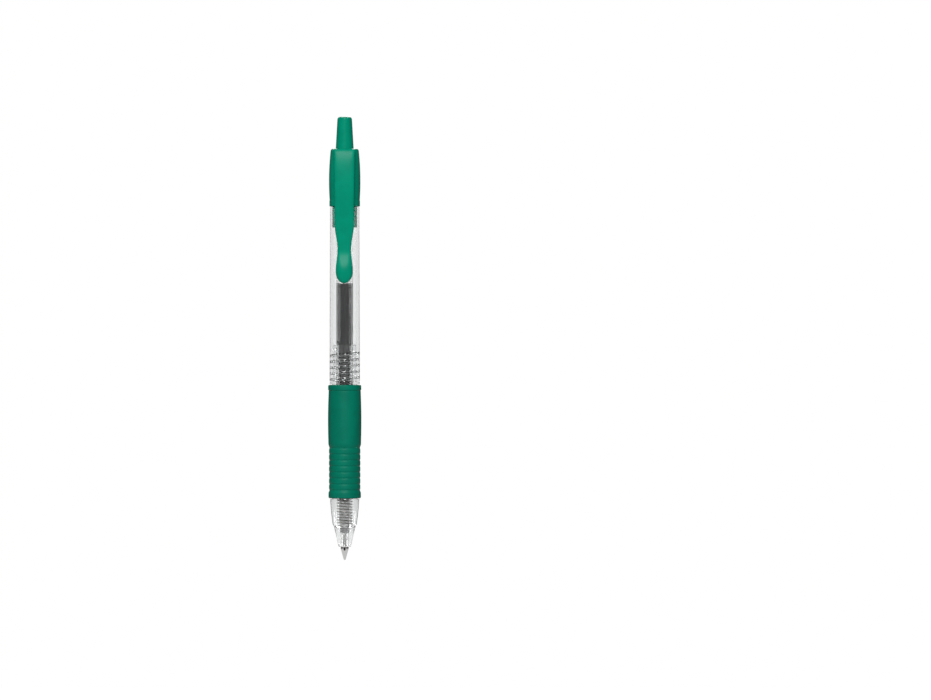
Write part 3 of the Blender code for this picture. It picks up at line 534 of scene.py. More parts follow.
def new_group(name, values, outputs):
    """An empty shader node group that takes coordinates and values, with its two ends."""
    tree = bpy.data.node_groups.new(name, "ShaderNodeTree")
    tree.interface.new_socket("Vector", in_out="INPUT", socket_type="NodeSocketVector")
    for label in values:
        tree.interface.new_socket(label, in_out="INPUT", socket_type="NodeSocketFloat")
    for label in outputs:
        tree.interface.new_socket(label, in_out="OUTPUT", socket_type="NodeSocketFloat")
    return tree, tree.nodes.new("NodeGroupInput").outputs, tree.nodes.new("NodeGroupOutput").inputs


def moulding_group():
    """Cloudy mottling and fine grain, as in a moulded skin."""
    name = "moulding_skin"
    found = bpy.data.node_groups.get(name)
    if found:
        return found
    tree, given, made = new_group(name, ("Mottle Scale", "Grain Scale"), ("Mottle", "Grain"))
    cloud = noise(tree, given["Vector"], given["Mottle Scale"], 3.0)
    spread = place(
        tree,
        "ShaderNodeMapRange",
        {"Value": cloud, "From Min": 0.32, "From Max": 0.68},
        interpolation_type="SMOOTHSTEP",
    )
    tree.links.new(spread.outputs["Result"], made["Mottle"])
    tree.links.new(noise(tree, given["Vector"], given["Grain Scale"], 2.0), made["Grain"])
    return tree


def drawn_group():
    """Streaks that run along the pen, as on drawn, extruded or wiped surfaces."""
    name = "drawn_streaks"
    found = bpy.data.node_groups.get(name)
    if found:
        return found
    tree, given, made = new_group(name, ("Scale", "Stretch"), ("Streak",))
    stretch = place(tree, "ShaderNodeCombineXYZ", {"X": 1.0, "Y": 1.0, "Z": given["Stretch"]})
    drawn = reckon_vector(tree, "MULTIPLY", given["Vector"], stretch.outputs["Vector"])
    tree.links.new(noise(tree, drawn, given["Scale"], 4.0), made["Streak"])
    return tree


def moulding(tree, coordinates, mottle, grain):
    """Marks and relief of a moulded skin, at two scales, and the strength of that relief."""
    inputs = {"Vector": coordinates, "Mottle Scale": mottle, "Grain Scale": grain}
    skin = place(tree, "ShaderNodeGroup", inputs, node_tree=moulding_group()).outputs
    return skin["Mottle"], skin["Grain"], SKIN_RELIEF


def streaking(tree, coordinates, scale, stretch):
    """Streaks at a scale, drawn out or pressed flat along the pen: marks, relief and its strength."""
    inputs = {"Vector": coordinates, "Scale": scale, "Stretch": stretch}
    streak = place(tree, "ShaderNodeGroup", inputs, node_tree=drawn_group()).outputs["Streak"]
    return streak, streak, STREAK_RELIEF


def blank_finish(name, constants):
    """A new material: its node tree, its Principled shader and its Object coordinates."""
    made = bpy.data.materials.new(name)
    made.use_nodes = True
    tree = made.node_tree
    shader = tree.nodes["Principled BSDF"]
    for label, value in constants.items():
        shader.inputs[label].default_value = value
    coordinates = tree.nodes.new("ShaderNodeTexCoord").outputs["Object"]
    return made, tree, shader, coordinates


def cover(tree, shader, tint, roughness, relief, strength, depth):
    """Feed a shader its colour, its roughness and the relief of its surface."""
    bump = place(tree, "ShaderNodeBump", {"Strength": strength, "Distance": depth, "Height": relief})
    tree.links.new(tint, shader.inputs["Base Color"])
    tree.links.new(roughness, shader.inputs["Roughness"])
    tree.links.new(bump.outputs["Normal"], shader.inputs["Normal"])


# Each finish: pattern and its two scales, colour, range of roughness, relief in mm, shader constants
FINISHES = {
    "green_moulding": (moulding, 260, 9000, "green", 0.24, 0.36, 0.004, {"Specular IOR Level": 0.045}),
    "green_sleeve": (moulding, 220, 7000, "rubber", 0.38, 0.54, 0.012, {"Specular IOR Level": 0.06}),
    "clear_moulding": (streaking, 300, 0.06, "clear", 0.01, 0.05, 0.001, {**GLASS, "IOR": 1.5}),
    "refill_plastic": (streaking, 500, 0.04, "milky", 0.005, 0.03, 0.001, {**GLASS, "IOR": 1.49}),
    "gel_ink": (streaking, 700, 0.05, "ink", 0.25, 0.45, 0.002, {"Specular IOR Level": 0}),
    "follower_grease": (moulding, 600, 3000, "milky", 0.05, 0.15, 0.002, {**GLASS, "IOR": 1.45}),
    "rotor_moulding": (moulding, 500, 9000, "rotor", 0.3, 0.42, 0.004, {"Transmission Weight": 0.2}),
    "spring_wire": (moulding, 900, 12000, "wire", 0.18, 0.38, 0.003, METAL),
}


def finish(name, colours):
    """A finish from the table: its colour, roughness and relief follow its pattern."""
    found = bpy.data.materials.get(name)
    if found:
        return found
    pattern, first_scale, second_scale, tone, low, high, depth, constants = FINISHES[name]
    made, tree, shader, coordinates = blank_finish(name, constants)
    marks, relief, strength = pattern(tree, coordinates, first_scale, second_scale)
    tones = ((*getattr(colours, tone + kind), 1) for kind in ("", "_shade"))
    toned = blended(tree, marks, *tones)
    cover(tree, shader, toned, ranged(tree, relief, low, high), relief, strength, depth * MM)
    return made


def clear_plastic(colours):
    """Clear moulding, which greys where it is thick."""
    made = finish("clear_moulding", colours)
    tree = made.node_tree
    if "Depth" not in tree.nodes:
        tint = {"Color": (*colours.clear_depth, 1), "Density": CLEAR_DENSITY}
        depth = place(tree, "ShaderNodeVolumeAbsorption", tint, name="Depth")
        tree.links.new(depth.outputs["Volume"], tree.nodes["Material Output"].inputs["Volume"])
    return made


def holder_plastic(colours, ring_top):
    """Grey ring at the collar's foot, and a pale stem above it."""
    made, tree, shader, coordinates = blank_finish("holder_moulding", {})
    marks, grain, strength = moulding(tree, coordinates, 500, 9000)
    height = place(tree, "ShaderNodeSeparateXYZ", {"Vector": coordinates}).outputs["Z"]
    step = {"Value": height, "From Min": ring_top - FINE_EDGE, "From Max": ring_top + FINE_EDGE}
    above = place(tree, "ShaderNodeMapRange", step).outputs["Result"]
    plain = blended(tree, above, (*colours.collar, 1), (*colours.stem, 1))
    faded = blended(tree, HOLDER_MOTTLE, plain, (*colours.holder_shade, 1))
    mottled = blended(tree, marks, plain, faded)
    cover(tree, shader, mottled, ranged(tree, grain, 0.35, 0.5), grain, strength, 0.004 * MM)
    return made


def tip_steel(colours, sizes):
    """Turned steel with fine rings, and a dark oval on the front of the cone that is a painted
    reflection, not a dimple in the steel.
    """
    name = "turned_tip"
    found = bpy.data.materials.get(name)
    if found:
        return found
    made, tree, shader, coordinates = blank_finish(name, METAL)
    rings, relief, strength = streaking(tree, coordinates, 900, 30)
    # Dark oval on the front of the cone: a painted reflection put into the steel's colour, with no dimple
    # in the mesh
    radius = reach("writing_tip")
    centre = Vector((0, AXIS_Y - radius, TIP_Z + sizes.cone))
    size = (sizes.reflection_width / 2, radius, sizes.reflection_height / 2)
    offset = reckon_vector(tree, "SUBTRACT", coordinates, centre)
    away = reckon_vector(tree, "LENGTH", reckon_vector(tree, "DIVIDE", offset, size), result="Value")
    painted_reflection = place(
        tree,
        "ShaderNodeMapRange",
        {"Value": away, "From Min": 0.8, "From Max": 1.05, "To Min": 1.0, "To Max": 0.0},
        interpolation_type="SMOOTHSTEP",
    ).outputs["Result"]
    turned = blended(tree, rings, (*colours.steel, 1), (*colours.steel_shade, 1))
    marked = blended(tree, painted_reflection, turned, (*colours.painted_reflection, 1))
    cover(tree, shader, marked, ranged(tree, relief, 0.16, 0.34), relief, strength, 0.003 * MM)
    return made


# Pieces

class PenOperator(bpy.types.Operator):
    """Base of the pen's operators."""

    bl_options = {"REGISTER", "UNDO"}


class GELPEN_OT_barrel(PenOperator):
    """Clear tube with a thread groove at its foot and a socket at its top"""

    bl_idname = "gelpen.barrel"
    bl_label = "Barrel"

    def execute(self, context):
        pen = context.scene.gel_pen
        sizes = pen.barrel
        foot, head = bottom("barrel"), top("barrel")
        socket = head - sizes.socket_depth
        step = sizes.socket - sizes.bore
        outline = [
            (sizes.top_radius, head, sizes.edge),
            (reach("barrel"), foot, sizes.edge),
            (sizes.bore, foot, sizes.edge),
            (sizes.bore, socket - sizes.socket_taper * step, 0),
            (sizes.socket, socket, 0),
            (sizes.socket, head, sizes.edge),
        ]
        piece = turn("barrel_tube", outline)
        thread = pen.thread
        groove = coil(
            "thread_groove",
            thread.spigot,
            thread.groove,
            thread.pitch,
            thread.turns + thread.run_out + thread.overrun,
            foot + thread.lead_in - thread.run_out * thread.pitch,
        )
        combine(piece, groove, "DIFFERENCE")
        dress(piece, clear_plastic(pen.colours), "barrel")
        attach(piece, "barrel")
        return {"FINISHED"}


class GELPEN_OT_cap(PenOperator):
    """Green shell with a swelling outline and a spigot that shows through the barrel"""

    bl_idname = "gelpen.cap"
    bl_label = "Cap"

    def execute(self, context):
        pen = context.scene.gel_pen
        sizes = pen.cap
        head = top("clip_cap")
        shoulder = top("barrel") + SEAT_GAP
        crest = head - sizes.crest_drop
        lip = shoulder + sizes.lip_height
        radius = reach("clip_cap")

        def swell(height):
            return radius - sizes.taper * ((height - crest) / sizes.crest_drop) ** 2

        outline = [(swell(head), head, sizes.edge)]
        below = head - 2 * sizes.edge
        for share in shares(CAP_STEPS):
            height = mix(below, lip, share)
            outline.append((swell(height), height, 0))
        bead = swell(lip) + sizes.lip
        guide_end = head - sizes.rib_end
        outline += [
            (bead, lip - sizes.lip, sizes.bead_edge),
            (bead, shoulder, sizes.foot_edge),
            (sizes.spigot, shoulder, 0),
            (sizes.spigot, bottom("clip_cap"), sizes.spigot_edge),
            (sizes.bore, bottom("clip_cap"), sizes.bore_edge),
            (sizes.bore, guide_end, 0),
            (sizes.guide, guide_end, 0),
            (sizes.guide, head, sizes.guide_edge),
        ]
        piece = turn("cap_shell", outline)
        slot_foot = guide_end - RUN_GAP
        tall = head - sizes.roof - slot_foot
        centre = (0, AXIS_Y, slot_foot + tall / 2)
        wide, deep = 2 * sizes.slot_radius, sizes.slot_width
        for size in ((wide, deep, tall), (deep, wide, tall)):
            combine(piece, block("guide_slot", size, centre), "DIFFERENCE")
        dress(piece, finish("green_moulding", pen.colours), "clip_cap")
        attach(piece, "barrel")
        return {"FINISHED"}


def clip_section(pen, height):
    """Half width, front and back distance from the axis, and squareness of the clip at a height."""
    sizes = pen.clip
    head = top("pocket_clip")
    neck = head - sizes.neck
    shoulder = head - sizes.shoulder
    bulb = head - sizes.bulb
    shoulder_half = sizes.width / 2 - sizes.taper
    rest = reach("clip_cap") + sizes.clearance
    foot = clip_foot(pen)
    crest = rest + sizes.thickness
    neck_front = rest + sizes.neck_thickness
    bulb_front = foot + sizes.bulb_thickness
    bulb_back = foot - sizes.skirt
    if height >= neck:
        if height >= shoulder:
            half = mix(sizes.width / 2, shoulder_half, (head - height) / sizes.shoulder)
        else:
            half = mix(shoulder_half, sizes.neck_width / 2, ease((shoulder - height) / (shoulder - neck)))
        arch = head - sizes.arch
        if height >= arch:
            climb = math.sqrt(max(0, 1 - ((height - arch) / sizes.arch) ** 2))
            front = mix(sizes.root_back + sizes.root_thickness, crest, climb)
        else:
            front = mix(crest, neck_front, ease((arch - height) / (arch - neck)))
        return half, front, sizes.root_back, sizes.squareness
    if height >= bulb:
        share = ease((neck - height) / (neck - bulb))
        half = mix(sizes.neck_width, sizes.bulb_width, share) / 2
        front = mix(neck_front, bulb_front, share)
        back = mix(sizes.root_back, bulb_back, share)
        return half, front, back, mix(sizes.squareness, sizes.foot_squareness, share)
    shrink = math.sqrt(max(0, 1 - ((bulb - height) / (bulb - bottom("pocket_clip"))) ** 2))
    middle = (bulb_front + foot) / 2
    half = sizes.bulb_width / 2 * shrink
    return half, mix(middle, bulb_front, shrink), mix(middle, bulb_back, shrink), sizes.foot_squareness


def clip_foot(pen):
    """Distance of the foot's back from the axis: the barrel's radius there and the clearance."""
    share = (top("barrel") - top("pocket_clip") + pen.clip.bulb) / (top("barrel") - bottom("barrel"))
    return mix(pen.barrel.top_radius, reach("barrel"), share) + pen.clip.clearance


def clip_clearance(pen, height):
    """Radius that the clip keeps clear of at a height: cap, then barrel. None where it is moulded on."""
    sizes = pen.clip
    head = top("pocket_clip")
    rest = reach("clip_cap") + sizes.clearance
    if height > head - sizes.root:
        return None
    share = (head - sizes.shoulder - height) / (sizes.neck - sizes.shoulder)
    return mix(rest, clip_foot(pen), min(1, max(0, share)))


class GELPEN_OT_clip(PenOperator):
    """Clip with a flat front and a ball-like foot, moulded onto the cap at its top"""

    bl_idname = "gelpen.clip"
    bl_label = "Clip"
    around: IntProperty(name="Points", description="Points round the section", default=96, min=16)
    along: IntProperty(name="Rings", description="Rings along the clip", default=100, min=8, max=100)

    def execute(self, context):
        pen = context.scene.gel_pen
        piece = start(
            "clip_arm", bpy.ops.mesh.primitive_cylinder_add, vertices=self.around, radius=1, depth=1
        )
        bpy.ops.mesh.select_mode(type="EDGE")
        bpy.ops.mesh.select_all(action="DESELECT")
        shape = bmesh.from_edit_mesh(piece.data)
        for edge in shape.edges:
            edge.select_set(abs(edge.verts[0].co.z - edge.verts[1].co.z) > 0.5)
        bmesh.update_edit_mesh(piece.data)
        bpy.ops.mesh.subdivide(number_cuts=self.along)
        bpy.ops.mesh.select_mode(type="VERT")
        bpy.ops.object.mode_set(mode="OBJECT")
        self.shape(piece, pen)
        bpy.ops.object.mode_set(mode="EDIT")
        close_up()
        dress(piece, finish("green_moulding", pen.colours), "pocket_clip")
        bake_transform(piece)
        return {"FINISHED"}

    def shape(self, piece, pen):
        """Move each point of the ringed cylinder onto the clip's section at its height."""
        head, foot = top("pocket_clip"), bottom("pocket_clip")
        for point in piece.data.vertices:
            height = mix(foot, head, ease(point.co.z + 0.5))
            half, front, back, squareness = clip_section(pen, height)
            power = 2 / squareness
            across = math.copysign(abs(point.co.x) ** power, point.co.x)
            deep = math.copysign(abs(point.co.y) ** power, point.co.y)
            x = half * across
            out = (front + back) / 2 - deep * (front - back) / 2
            clear = clip_clearance(pen, height)
            if clear and abs(x) < clear:
                out = max(out, math.sqrt(clear * clear - x * x))
            point.co = (x, AXIS_Y - out, height)


class GELPEN_OT_button(PenOperator):
    """Tapered push button, hollow from below"""

    bl_idname = "gelpen.button"
    bl_label = "Button"

    def execute(self, context):
        pen = context.scene.gel_pen
        sizes = pen.button
        head, guide, foot = top("knock_button"), top("clip_cap"), bottom("knock_button") + sizes.crown
        outline = [
            (0, head, 0),
            (sizes.top_radius, head, sizes.edge),
            (sizes.radius, guide, sizes.waist),
            (sizes.radius, foot, FINE_EDGE),
            (sizes.bore, foot, FINE_EDGE),
            (sizes.bore, guide, sizes.bore_edge),
            (0, guide, 0),
        ]
        piece = turn("push_button", outline)
        inner = mix(sizes.bore, sizes.radius, 0.5)
        deep = sizes.lug_reach - inner
        middle = inner + deep / 2
        tall = sizes.lug_length
        height = bottom("knock_button") + sizes.lug_foot + tall / 2
        for side in (-1, 1):
            across = block("lug", (deep, sizes.lug_width, tall), (side * middle, AXIS_Y, height))
            combine(piece, across, "UNION")
            along = block("lug", (sizes.lug_width, deep, tall), (0, AXIS_Y + side * middle, height))
            combine(piece, along, "UNION")
        dress(piece, finish("green_moulding", pen.colours), "knock_button")
        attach(piece, "knock")
        return {"FINISHED"}


class GELPEN_OT_grip(PenOperator):
    """Rubber sleeve: rim, swell, ribs and foot"""

    bl_idname = "gelpen.grip"
    bl_label = "Grip"

    def outline(self, sizes):
        radius = reach("rubber_grip")
        head, foot = top("rubber_grip"), bottom("rubber_grip")
        rim = radius - sizes.rim_inset
        neck = radius - sizes.neck_inset
        crest = radius - sizes.crest_inset
        groove = crest - sizes.groove_depth
        flare = radius - sizes.foot_inset
        neck_z = head - sizes.rim_height
        ribs_foot = foot + sizes.foot_height
        ribs_head = ribs_foot + sizes.ribs * sizes.rib_pitch
        swell_head = neck_z - sizes.edge
        bulge = (sizes.neck_inset + sizes.shoulder_inset) / 2
        points = [
            (rim, head, sizes.edge),
            (rim, neck_z, sizes.edge / 2),
            (neck - sizes.neck_dip, mix(neck_z, swell_head, 0.4), FINE_EDGE),
        ]
        for share in shares(GRIP_STEPS):
            inset = mix(sizes.neck_inset, sizes.shoulder_inset, share)
            swell = radius - inset + bulge * math.sin(math.pi * share)
            points.append((min(swell, radius), mix(swell_head, ribs_head, share), 0))
        first_groove = ribs_head - sizes.rib_pitch * 2 / 3
        points.append((crest + sizes.first_rise, ribs_head - sizes.rib_pitch / 3, sizes.first_edge))
        for rib in range(sizes.ribs):
            valley = first_groove - rib * sizes.rib_pitch
            points.append((groove, valley, sizes.groove_edge))
            if rib == sizes.ribs - 1:
                break
            for share in shares(RIB_STEPS)[1:-1]:
                rise = 1 - abs(2 * share - 1) ** 4
                points.append((groove + sizes.groove_depth * rise, valley - share * sizes.rib_pitch, 0))
        points += [
            (flare, ribs_foot - sizes.edge / 2, sizes.foot_edge),
            (flare, foot, sizes.edge),
            (sizes.bore, foot, FINE_EDGE),
            (sizes.bore, head, FINE_EDGE),
        ]
        return points

    def execute(self, context):
        pen = context.scene.gel_pen
        piece = turn("grip_sleeve", self.outline(pen.grip))
        dress(piece, finish("green_sleeve", pen.colours), "rubber_grip")
        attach(piece, "grip")
        return {"FINISHED"}


class GELPEN_OT_front(PenOperator):
    """Clear nose, grip tube, stop flange and threaded spigot in one moulding"""

    bl_idname = "gelpen.front"
    bl_label = "Front section"

    def outline(self, pen):
        sizes = pen.front
        edge = sizes.edge
        head, mouth = top("front_section"), bottom("front_section")
        spigot = pen.thread.spigot
        stop_head = bottom("barrel") - SEAT_GAP
        stop_foot = top("rubber_grip") + SEAT_GAP
        seat = bottom("rubber_grip") - SEAT_GAP
        spring_seat = bottom("return_spring") - SEAT_GAP
        ledge = spring_seat + sizes.ledge_height
        taper_foot = ledge + sizes.ledge_height
        collar = bottom("tip_holder") - sizes.press - RUN_GAP
        chamber_head = top("return_spring") + SEAT_GAP - sizes.press - RUN_GAP
        points = [
            (spigot - sizes.chamfer, head, 0),
            (spigot, head - sizes.chamfer, edge),
            (spigot, stop_head, edge),
            (sizes.stop, stop_head, edge),
            (sizes.stop, stop_foot, edge),
            (sizes.tube, stop_foot, edge),
            (sizes.tube, seat, edge),
            (sizes.shoulder, seat, edge),
        ]
        for share in shares(TAPER_STEPS)[1:]:
            radius = mix(sizes.shoulder, sizes.taper_foot, share)
            radius += sizes.bulge * 4 * share * (1 - share)
            points.append((radius, mix(seat, taper_foot, share), 0))
        points += [
            (sizes.ledge, ledge, edge),
            (sizes.mouth, mouth, edge),
            (sizes.mouth_bore, mouth, edge),
            (sizes.mouth_bore, collar - RUN_GAP, 0),
            (sizes.collar_bore, collar, 0),
            (sizes.collar_bore, spring_seat, edge),
            (sizes.chamber, spring_seat, edge),
            (sizes.chamber, chamber_head - (sizes.bore - sizes.chamber), 0),
            (sizes.bore, chamber_head, 0),
            (sizes.bore, head, 0),
        ]
        return points

    def execute(self, context):
        pen = context.scene.gel_pen
        piece = turn("front_moulding", self.outline(pen))
        thread = pen.thread
        ridge = coil(
            "thread_ridge",
            thread.spigot,
            thread.ridge,
            thread.pitch,
            thread.turns,
            bottom("barrel") + thread.lead_in,
        )
        combine(piece, ridge, "UNION")
        dress(piece, clear_plastic(pen.colours), "front_section")
        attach(piece, "front_section")
        return {"FINISHED"}


class GELPEN_OT_spring(PenOperator):
    """Left-hand coil between the nose and the refill's flange"""

    bl_idname = "gelpen.spring"
    bl_label = "Spring"

    def execute(self, context):
        pen = context.scene.gel_pen
        wire = pen.spring.wire / 2
        low, high = bottom("return_spring") + wire, top("return_spring") - wire
        curls = pen.spring.curls
        radius = pen.refill.stem + RUN_GAP + wire
        piece = coil("spring_coil", radius, wire, (high - low) / curls, curls, low, hand=-1)
        dress(piece, finish("spring_wire", pen.colours), "return_spring")
        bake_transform(piece)
        return {"FINISHED"}


class GELPEN_OT_refill(PenOperator):
    """Refill: tube, ink, follower, tail plug and the holder of the tip"""

    bl_idname = "gelpen.refill"
    bl_label = "Refill"

    def execute(self, context):
        pen = context.scene.gel_pen
        sizes = pen.refill
        holder = holder_plastic(pen.colours, bottom("tip_holder") + sizes.grey_ring)
        milky, ink, grease = (
            finish(name, pen.colours) for name in ("refill_plastic", "gel_ink", "follower_grease")
        )
        for name, outline, skin, slot, node in (
            ("refill_tube", self.tube(sizes), milky, "milky_plastic", "ink_tube"),
            ("ink_fill", self.ink(sizes), ink, "ink", "ink_column"),
            ("follower_gel", self.follower(sizes), grease, "grease", "ink_follower"),
            ("refill_tail", self.tail(sizes), milky, "milky_plastic", "tail_plug"),
            ("tip_collar", self.holder(sizes, pen.front.press), holder, "grey_plastic", "tip_holder"),
        ):
            piece = turn(name, outline)
            dress(piece, skin, node)
            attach(piece, "refill")
        return {"FINISHED"}

    def tube(self, sizes):
        outer = reach("ink_tube")
        head, foot = top("ink_tube"), bottom("ink_tube")
        bore = outer - sizes.wall
        edge = sizes.wall / 3
        return [(outer, head, edge), (outer, foot, edge), (bore, foot, edge), (bore, head, edge)]

    def surface(self, sizes, height):
        """A hollow liquid surface, from the axis out to the wall."""
        radius = reach("ink_tube") - sizes.wall + sizes.film
        dips = [(share, sizes.meniscus * (share ** 4 - 1)) for share in shares(LIQUID_STEPS)]
        return [(radius * share, height + dip, 0) for share, dip in dips]

    def ink(self, sizes):
        outline = self.surface(sizes, top("ink_column"))
        foot = top("tip_holder")
        return [*outline, (outline[-1][0], foot, 0), (0, foot, 0)]

    def follower(self, sizes):
        below = self.surface(sizes, top("ink_column") + sizes.gap)
        return [*self.surface(sizes, top("ink_follower")), *reversed(below)]

    def tail(self, sizes):
        head, foot = top("tail_plug"), bottom("tail_plug")
        flange = head - sizes.tail_flange
        outer = reach("tail_plug")
        return [
            (outer, head, FINE_EDGE),
            (outer, flange, FINE_EDGE),
            (sizes.plug, flange, 0),
            (sizes.plug, foot, sizes.plug_edge),
            (sizes.vent, foot, 0),
            (sizes.vent, head, FINE_EDGE),
        ]

    def holder(self, sizes, press):
        head, foot = top("tip_holder"), bottom("tip_holder")
        outer = reach("tip_holder")
        flange_head = head - sizes.plug_length
        flange_foot = flange_head - sizes.flange
        stem_foot = bottom("return_spring") - SEAT_GAP + press + RUN_GAP
        return [
            (sizes.plug, head, FINE_EDGE),
            (sizes.plug, flange_head, 0),
            (outer, flange_head, FINE_EDGE),
            (outer, flange_foot, FINE_EDGE),
            (sizes.stem, flange_foot, FINE_EDGE),
            (sizes.stem, stem_foot + sizes.stem - sizes.collar, FINE_EDGE),
            (sizes.collar, stem_foot, FINE_EDGE),
            (sizes.collar, foot, FINE_EDGE),
            (sizes.channel, foot, FINE_EDGE),
            (sizes.channel, head, FINE_EDGE),
        ]


class GELPEN_OT_tip(PenOperator):
    """Steel cone and tube, and the ball that rolls in the cone's end"""

    bl_idname = "gelpen.tip"
    bl_label = "Tip"

    def execute(self, context):
        pen = context.scene.gel_pen
        sizes = pen.tip
        ball = reach("tip_ball")
        centre = TIP_Z + ball
        seat = ball + sizes.seat_gap
        lip = seat * math.cos(SEAT_ANGLE)
        cone, shoulder = TIP_Z + sizes.cone, TIP_Z + sizes.cone + sizes.tube
        head = top("writing_tip")
        radius = reach("writing_tip")
        outline = [
            (sizes.shank, head, FINE_EDGE),
            (sizes.shank, shoulder, 0),
            (radius, shoulder, sizes.shoulder_edge),
            (radius, cone, sizes.cone_edge),
            (lip + sizes.lip, centre - seat * math.sin(SEAT_ANGLE), sizes.lip_edge),
        ]
        for share in shares(SEAT_STEPS):
            angle = mix(-SEAT_ANGLE, SEAT_ANGLE, share)
            outline.append((seat * math.cos(angle), centre + seat * math.sin(angle), 0))
        outline += [
            (sizes.feed, centre + seat, 0),
            (sizes.feed, centre + sizes.feed_head, 0),
            (sizes.bore, centre + sizes.bore_foot, 0),
            (sizes.bore, head, sizes.bore_edge),
        ]
        piece = turn("tip_cone", outline)
        dress(piece, tip_steel(pen.colours, sizes), "writing_tip")
        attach(piece, "refill")
        outline = [
            (ball * math.sin(math.pi * share), centre + ball * math.cos(math.pi * share), 0)
            for share in shares(BALL_STEPS)
        ]
        outline[0] = (0, centre + ball, 0)
        outline[-1] = (0, centre - ball, 0)
        piece = turn("rolling_ball", outline, 2 * BALL_STEPS)
        dress(piece, tip_steel(pen.colours, sizes), "tip_ball")
        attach(piece, "ball")
        return {"FINISHED"}


class GELPEN_OT_rotor(PenOperator):
    """Finish of the cam rotor, whose shape is the frame's own"""

    bl_idname = "gelpen.rotor"
    bl_label = "Cam rotor"

    def execute(self, context):
        skin = finish("rotor_moulding", context.scene.gel_pen.colours)
        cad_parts["cam_rotor"].material_slots[0].material = skin
        return {"FINISHED"}


# Stage

def banded(tree, across, bands):
    """Brightness in bands, each from a position in a 0 to 1 range."""
    ramp = place(tree, "ShaderNodeValToRGB", {"Fac": across})
    ramp.color_ramp.interpolation = "CONSTANT"
    while len(ramp.color_ramp.elements) < len(bands):
        ramp.color_ramp.elements.new(1.0)
    for element, (position, strength) in zip(ramp.color_ramp.elements, bands):
        element.position = position
        element.color = (strength, strength, strength, 1)
    return ramp.outputs["Color"]


def studio_world(stage):
    """White to look at and to look through, soft light on surfaces, and lit sides to mirror."""
    world = bpy.data.worlds.new("studio")
    bpy.context.scene.world = world
    world.use_nodes = True
    world.cycles.sampling_method = "NONE"
    tree = world.node_tree
    tree.nodes.clear()
    path = place(tree, "ShaderNodeLightPath").outputs
    direction = place(tree, "ShaderNodeTexCoord").outputs["Generated"]
    level = reckon_vector(tree, "NORMALIZE", reckon_vector(tree, "MULTIPLY", direction, (1, 1, 0)))
    front = reckon_vector(tree, "DOT_PRODUCT", level, (0, -1, 0), result="Value")
    span = {"Value": front, "From Min": -1, "From Max": 1}
    across = place(tree, "ShaderNodeMapRange", span).outputs["Result"]
    entered = reckon(tree, "GREATER_THAN", path["Transmission Depth"], 0.5)
    room = blended(tree, entered, banded(tree, across, ROOM_BANDS), banded(tree, across, INNER_BANDS))
    bounced = reckon(tree, "GREATER_THAN", path["Glossy Depth"], 0.5)
    mirrored = reckon(tree, "MULTIPLY", bounced, reckon(tree, "SUBTRACT", 1, path["Is Diffuse Ray"]))
    passed = reckon(tree, "MAXIMUM", path["Is Camera Ray"], path["Is Transmission Ray"])
    soft = (stage.ambient, stage.ambient, stage.ambient, 1)
    looked = blended(tree, passed, soft, WHITE)
    background = place(tree, "ShaderNodeBackground", {"Color": blended(tree, mirrored, looked, room)})
    place(tree, "ShaderNodeOutputWorld", {"Surface": background.outputs[0]})


def floor_finish(stage):
    """Pale floor that looks white, and still takes the pen's shadow."""
    constants = {"Roughness": 0.9, "Emission Color": WHITE}
    made, tree, shader, coordinates = blank_finish("pale_floor", constants)
    mottle, _, _ = moulding(tree, coordinates, 6, 800)
    toned = blended(tree, mottle, (*stage.floor, 1), (*stage.floor_shade, 1))
    tree.links.new(toned, shader.inputs["Base Color"])
    path = place(tree, "ShaderNodeLightPath").outputs
    looked = reckon(tree, "MAXIMUM", path["Is Camera Ray"], path["Is Transmission Ray"])
    seen = reckon(tree, "MAXIMUM", looked, path["Is Glossy Ray"])
    tree.links.new(reckon(tree, "MULTIPLY", seen, stage.floor_glow), shader.inputs["Emission Strength"])
    return made


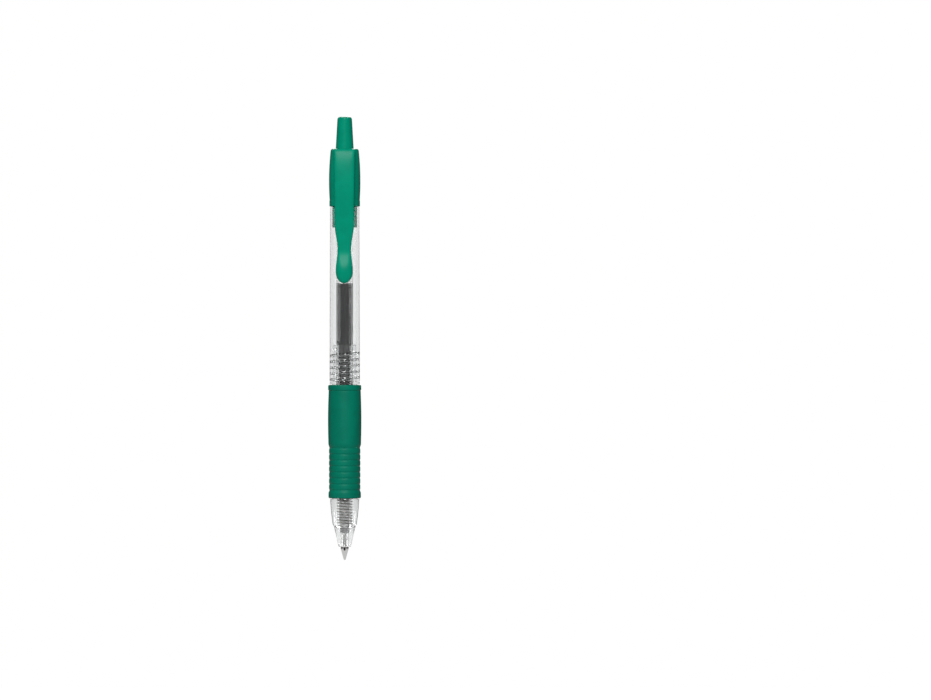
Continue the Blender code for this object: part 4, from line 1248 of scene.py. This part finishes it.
class GELPEN_OT_stage(PenOperator):
    """Pale floor, soft light and a camera at the photograph's angle"""

    bl_idname = "gelpen.stage"
    bl_label = "Stage"

    def execute(self, context):
        stage = context.scene.gel_pen.stage
        context.scene.view_settings.view_transform = "Standard"
        studio_world(stage)
        floor = start(
            "floor",
            bpy.ops.mesh.primitive_plane_add,
            size=stage.floor_size,
            location=(0, AXIS_Y, TIP_Z - stage.floor_drop),
        )
        bpy.ops.object.mode_set(mode="OBJECT")
        floor.data.materials.append(floor_finish(stage))
        self.add_lamp("key_lamp", KEY_FROM, stage.key_power)
        self.add_lamp("fill_lamp", FILL_FROM, stage.fill_power)
        self.add_camera(stage)
        return {"FINISHED"}

    def add_lamp(self, name, towards, power):
        """Large soft lamp, far off in a direction."""
        bpy.ops.object.light_add(type="SUN")
        lamp = bpy.context.active_object
        lamp.name = name
        lamp.rotation_euler = Vector(towards).to_track_quat("Z", "Y").to_euler()
        lamp.data.angle = LAMP_SPREAD
        lamp.data.energy = power

    def add_camera(self, stage):
        """Level camera whose frame is the photograph's."""
        scene = bpy.context.scene
        across = (stage.columns / 2 - stage.axis_column) * stage.pixel
        height = TIP_Z + (stage.tip_row - stage.rows / 2) * stage.pixel
        bpy.ops.object.camera_add(rotation=(math.pi / 2, 0, 0))
        camera = bpy.context.active_object
        camera.data.lens = stage.lens
        away = stage.columns * stage.pixel * stage.lens / camera.data.sensor_width
        camera.location = (across, AXIS_Y - away, height)
        scene.camera = camera


class GELPEN_PT_panel(bpy.types.Panel):
    """Pieces of the pen"""

    bl_label = "Gel Pen"
    bl_idname = "GELPEN_PT_panel"
    bl_space_type = "VIEW_3D"
    bl_region_type = "UI"
    bl_category = "Gel Pen"

    def draw(self, context):
        for operator in OPERATORS:
            self.layout.operator(operator.bl_idname)


OPERATORS = (
    GELPEN_OT_barrel,
    GELPEN_OT_cap,
    GELPEN_OT_clip,
    GELPEN_OT_button,
    GELPEN_OT_grip,
    GELPEN_OT_front,
    GELPEN_OT_spring,
    GELPEN_OT_refill,
    GELPEN_OT_tip,
    GELPEN_OT_rotor,
    GELPEN_OT_stage,
)
SETTINGS = (
    BarrelSizes,
    ThreadSizes,
    CapSizes,
    ClipSizes,
    ButtonSizes,
    GripSizes,
    FrontSizes,
    SpringSizes,
    RefillSizes,
    TipSizes,
    Colours,
    StageSizes,
    GelPenSettings,
)


def register():
    for kind in (*SETTINGS, *OPERATORS, GELPEN_PT_panel):
        bpy.utils.register_class(kind)
    bpy.types.Scene.gel_pen = PointerProperty(type=GelPenSettings)


def unregister():
    del bpy.types.Scene.gel_pen
    for kind in reversed((*SETTINGS, *OPERATORS, GELPEN_PT_panel)):
        bpy.utils.unregister_class(kind)


def main():
    register()
    for operator in OPERATORS:
        getattr(bpy.ops.gelpen, operator.bl_idname.partition(".")[2])()


if __name__ == "__main__":
    main()
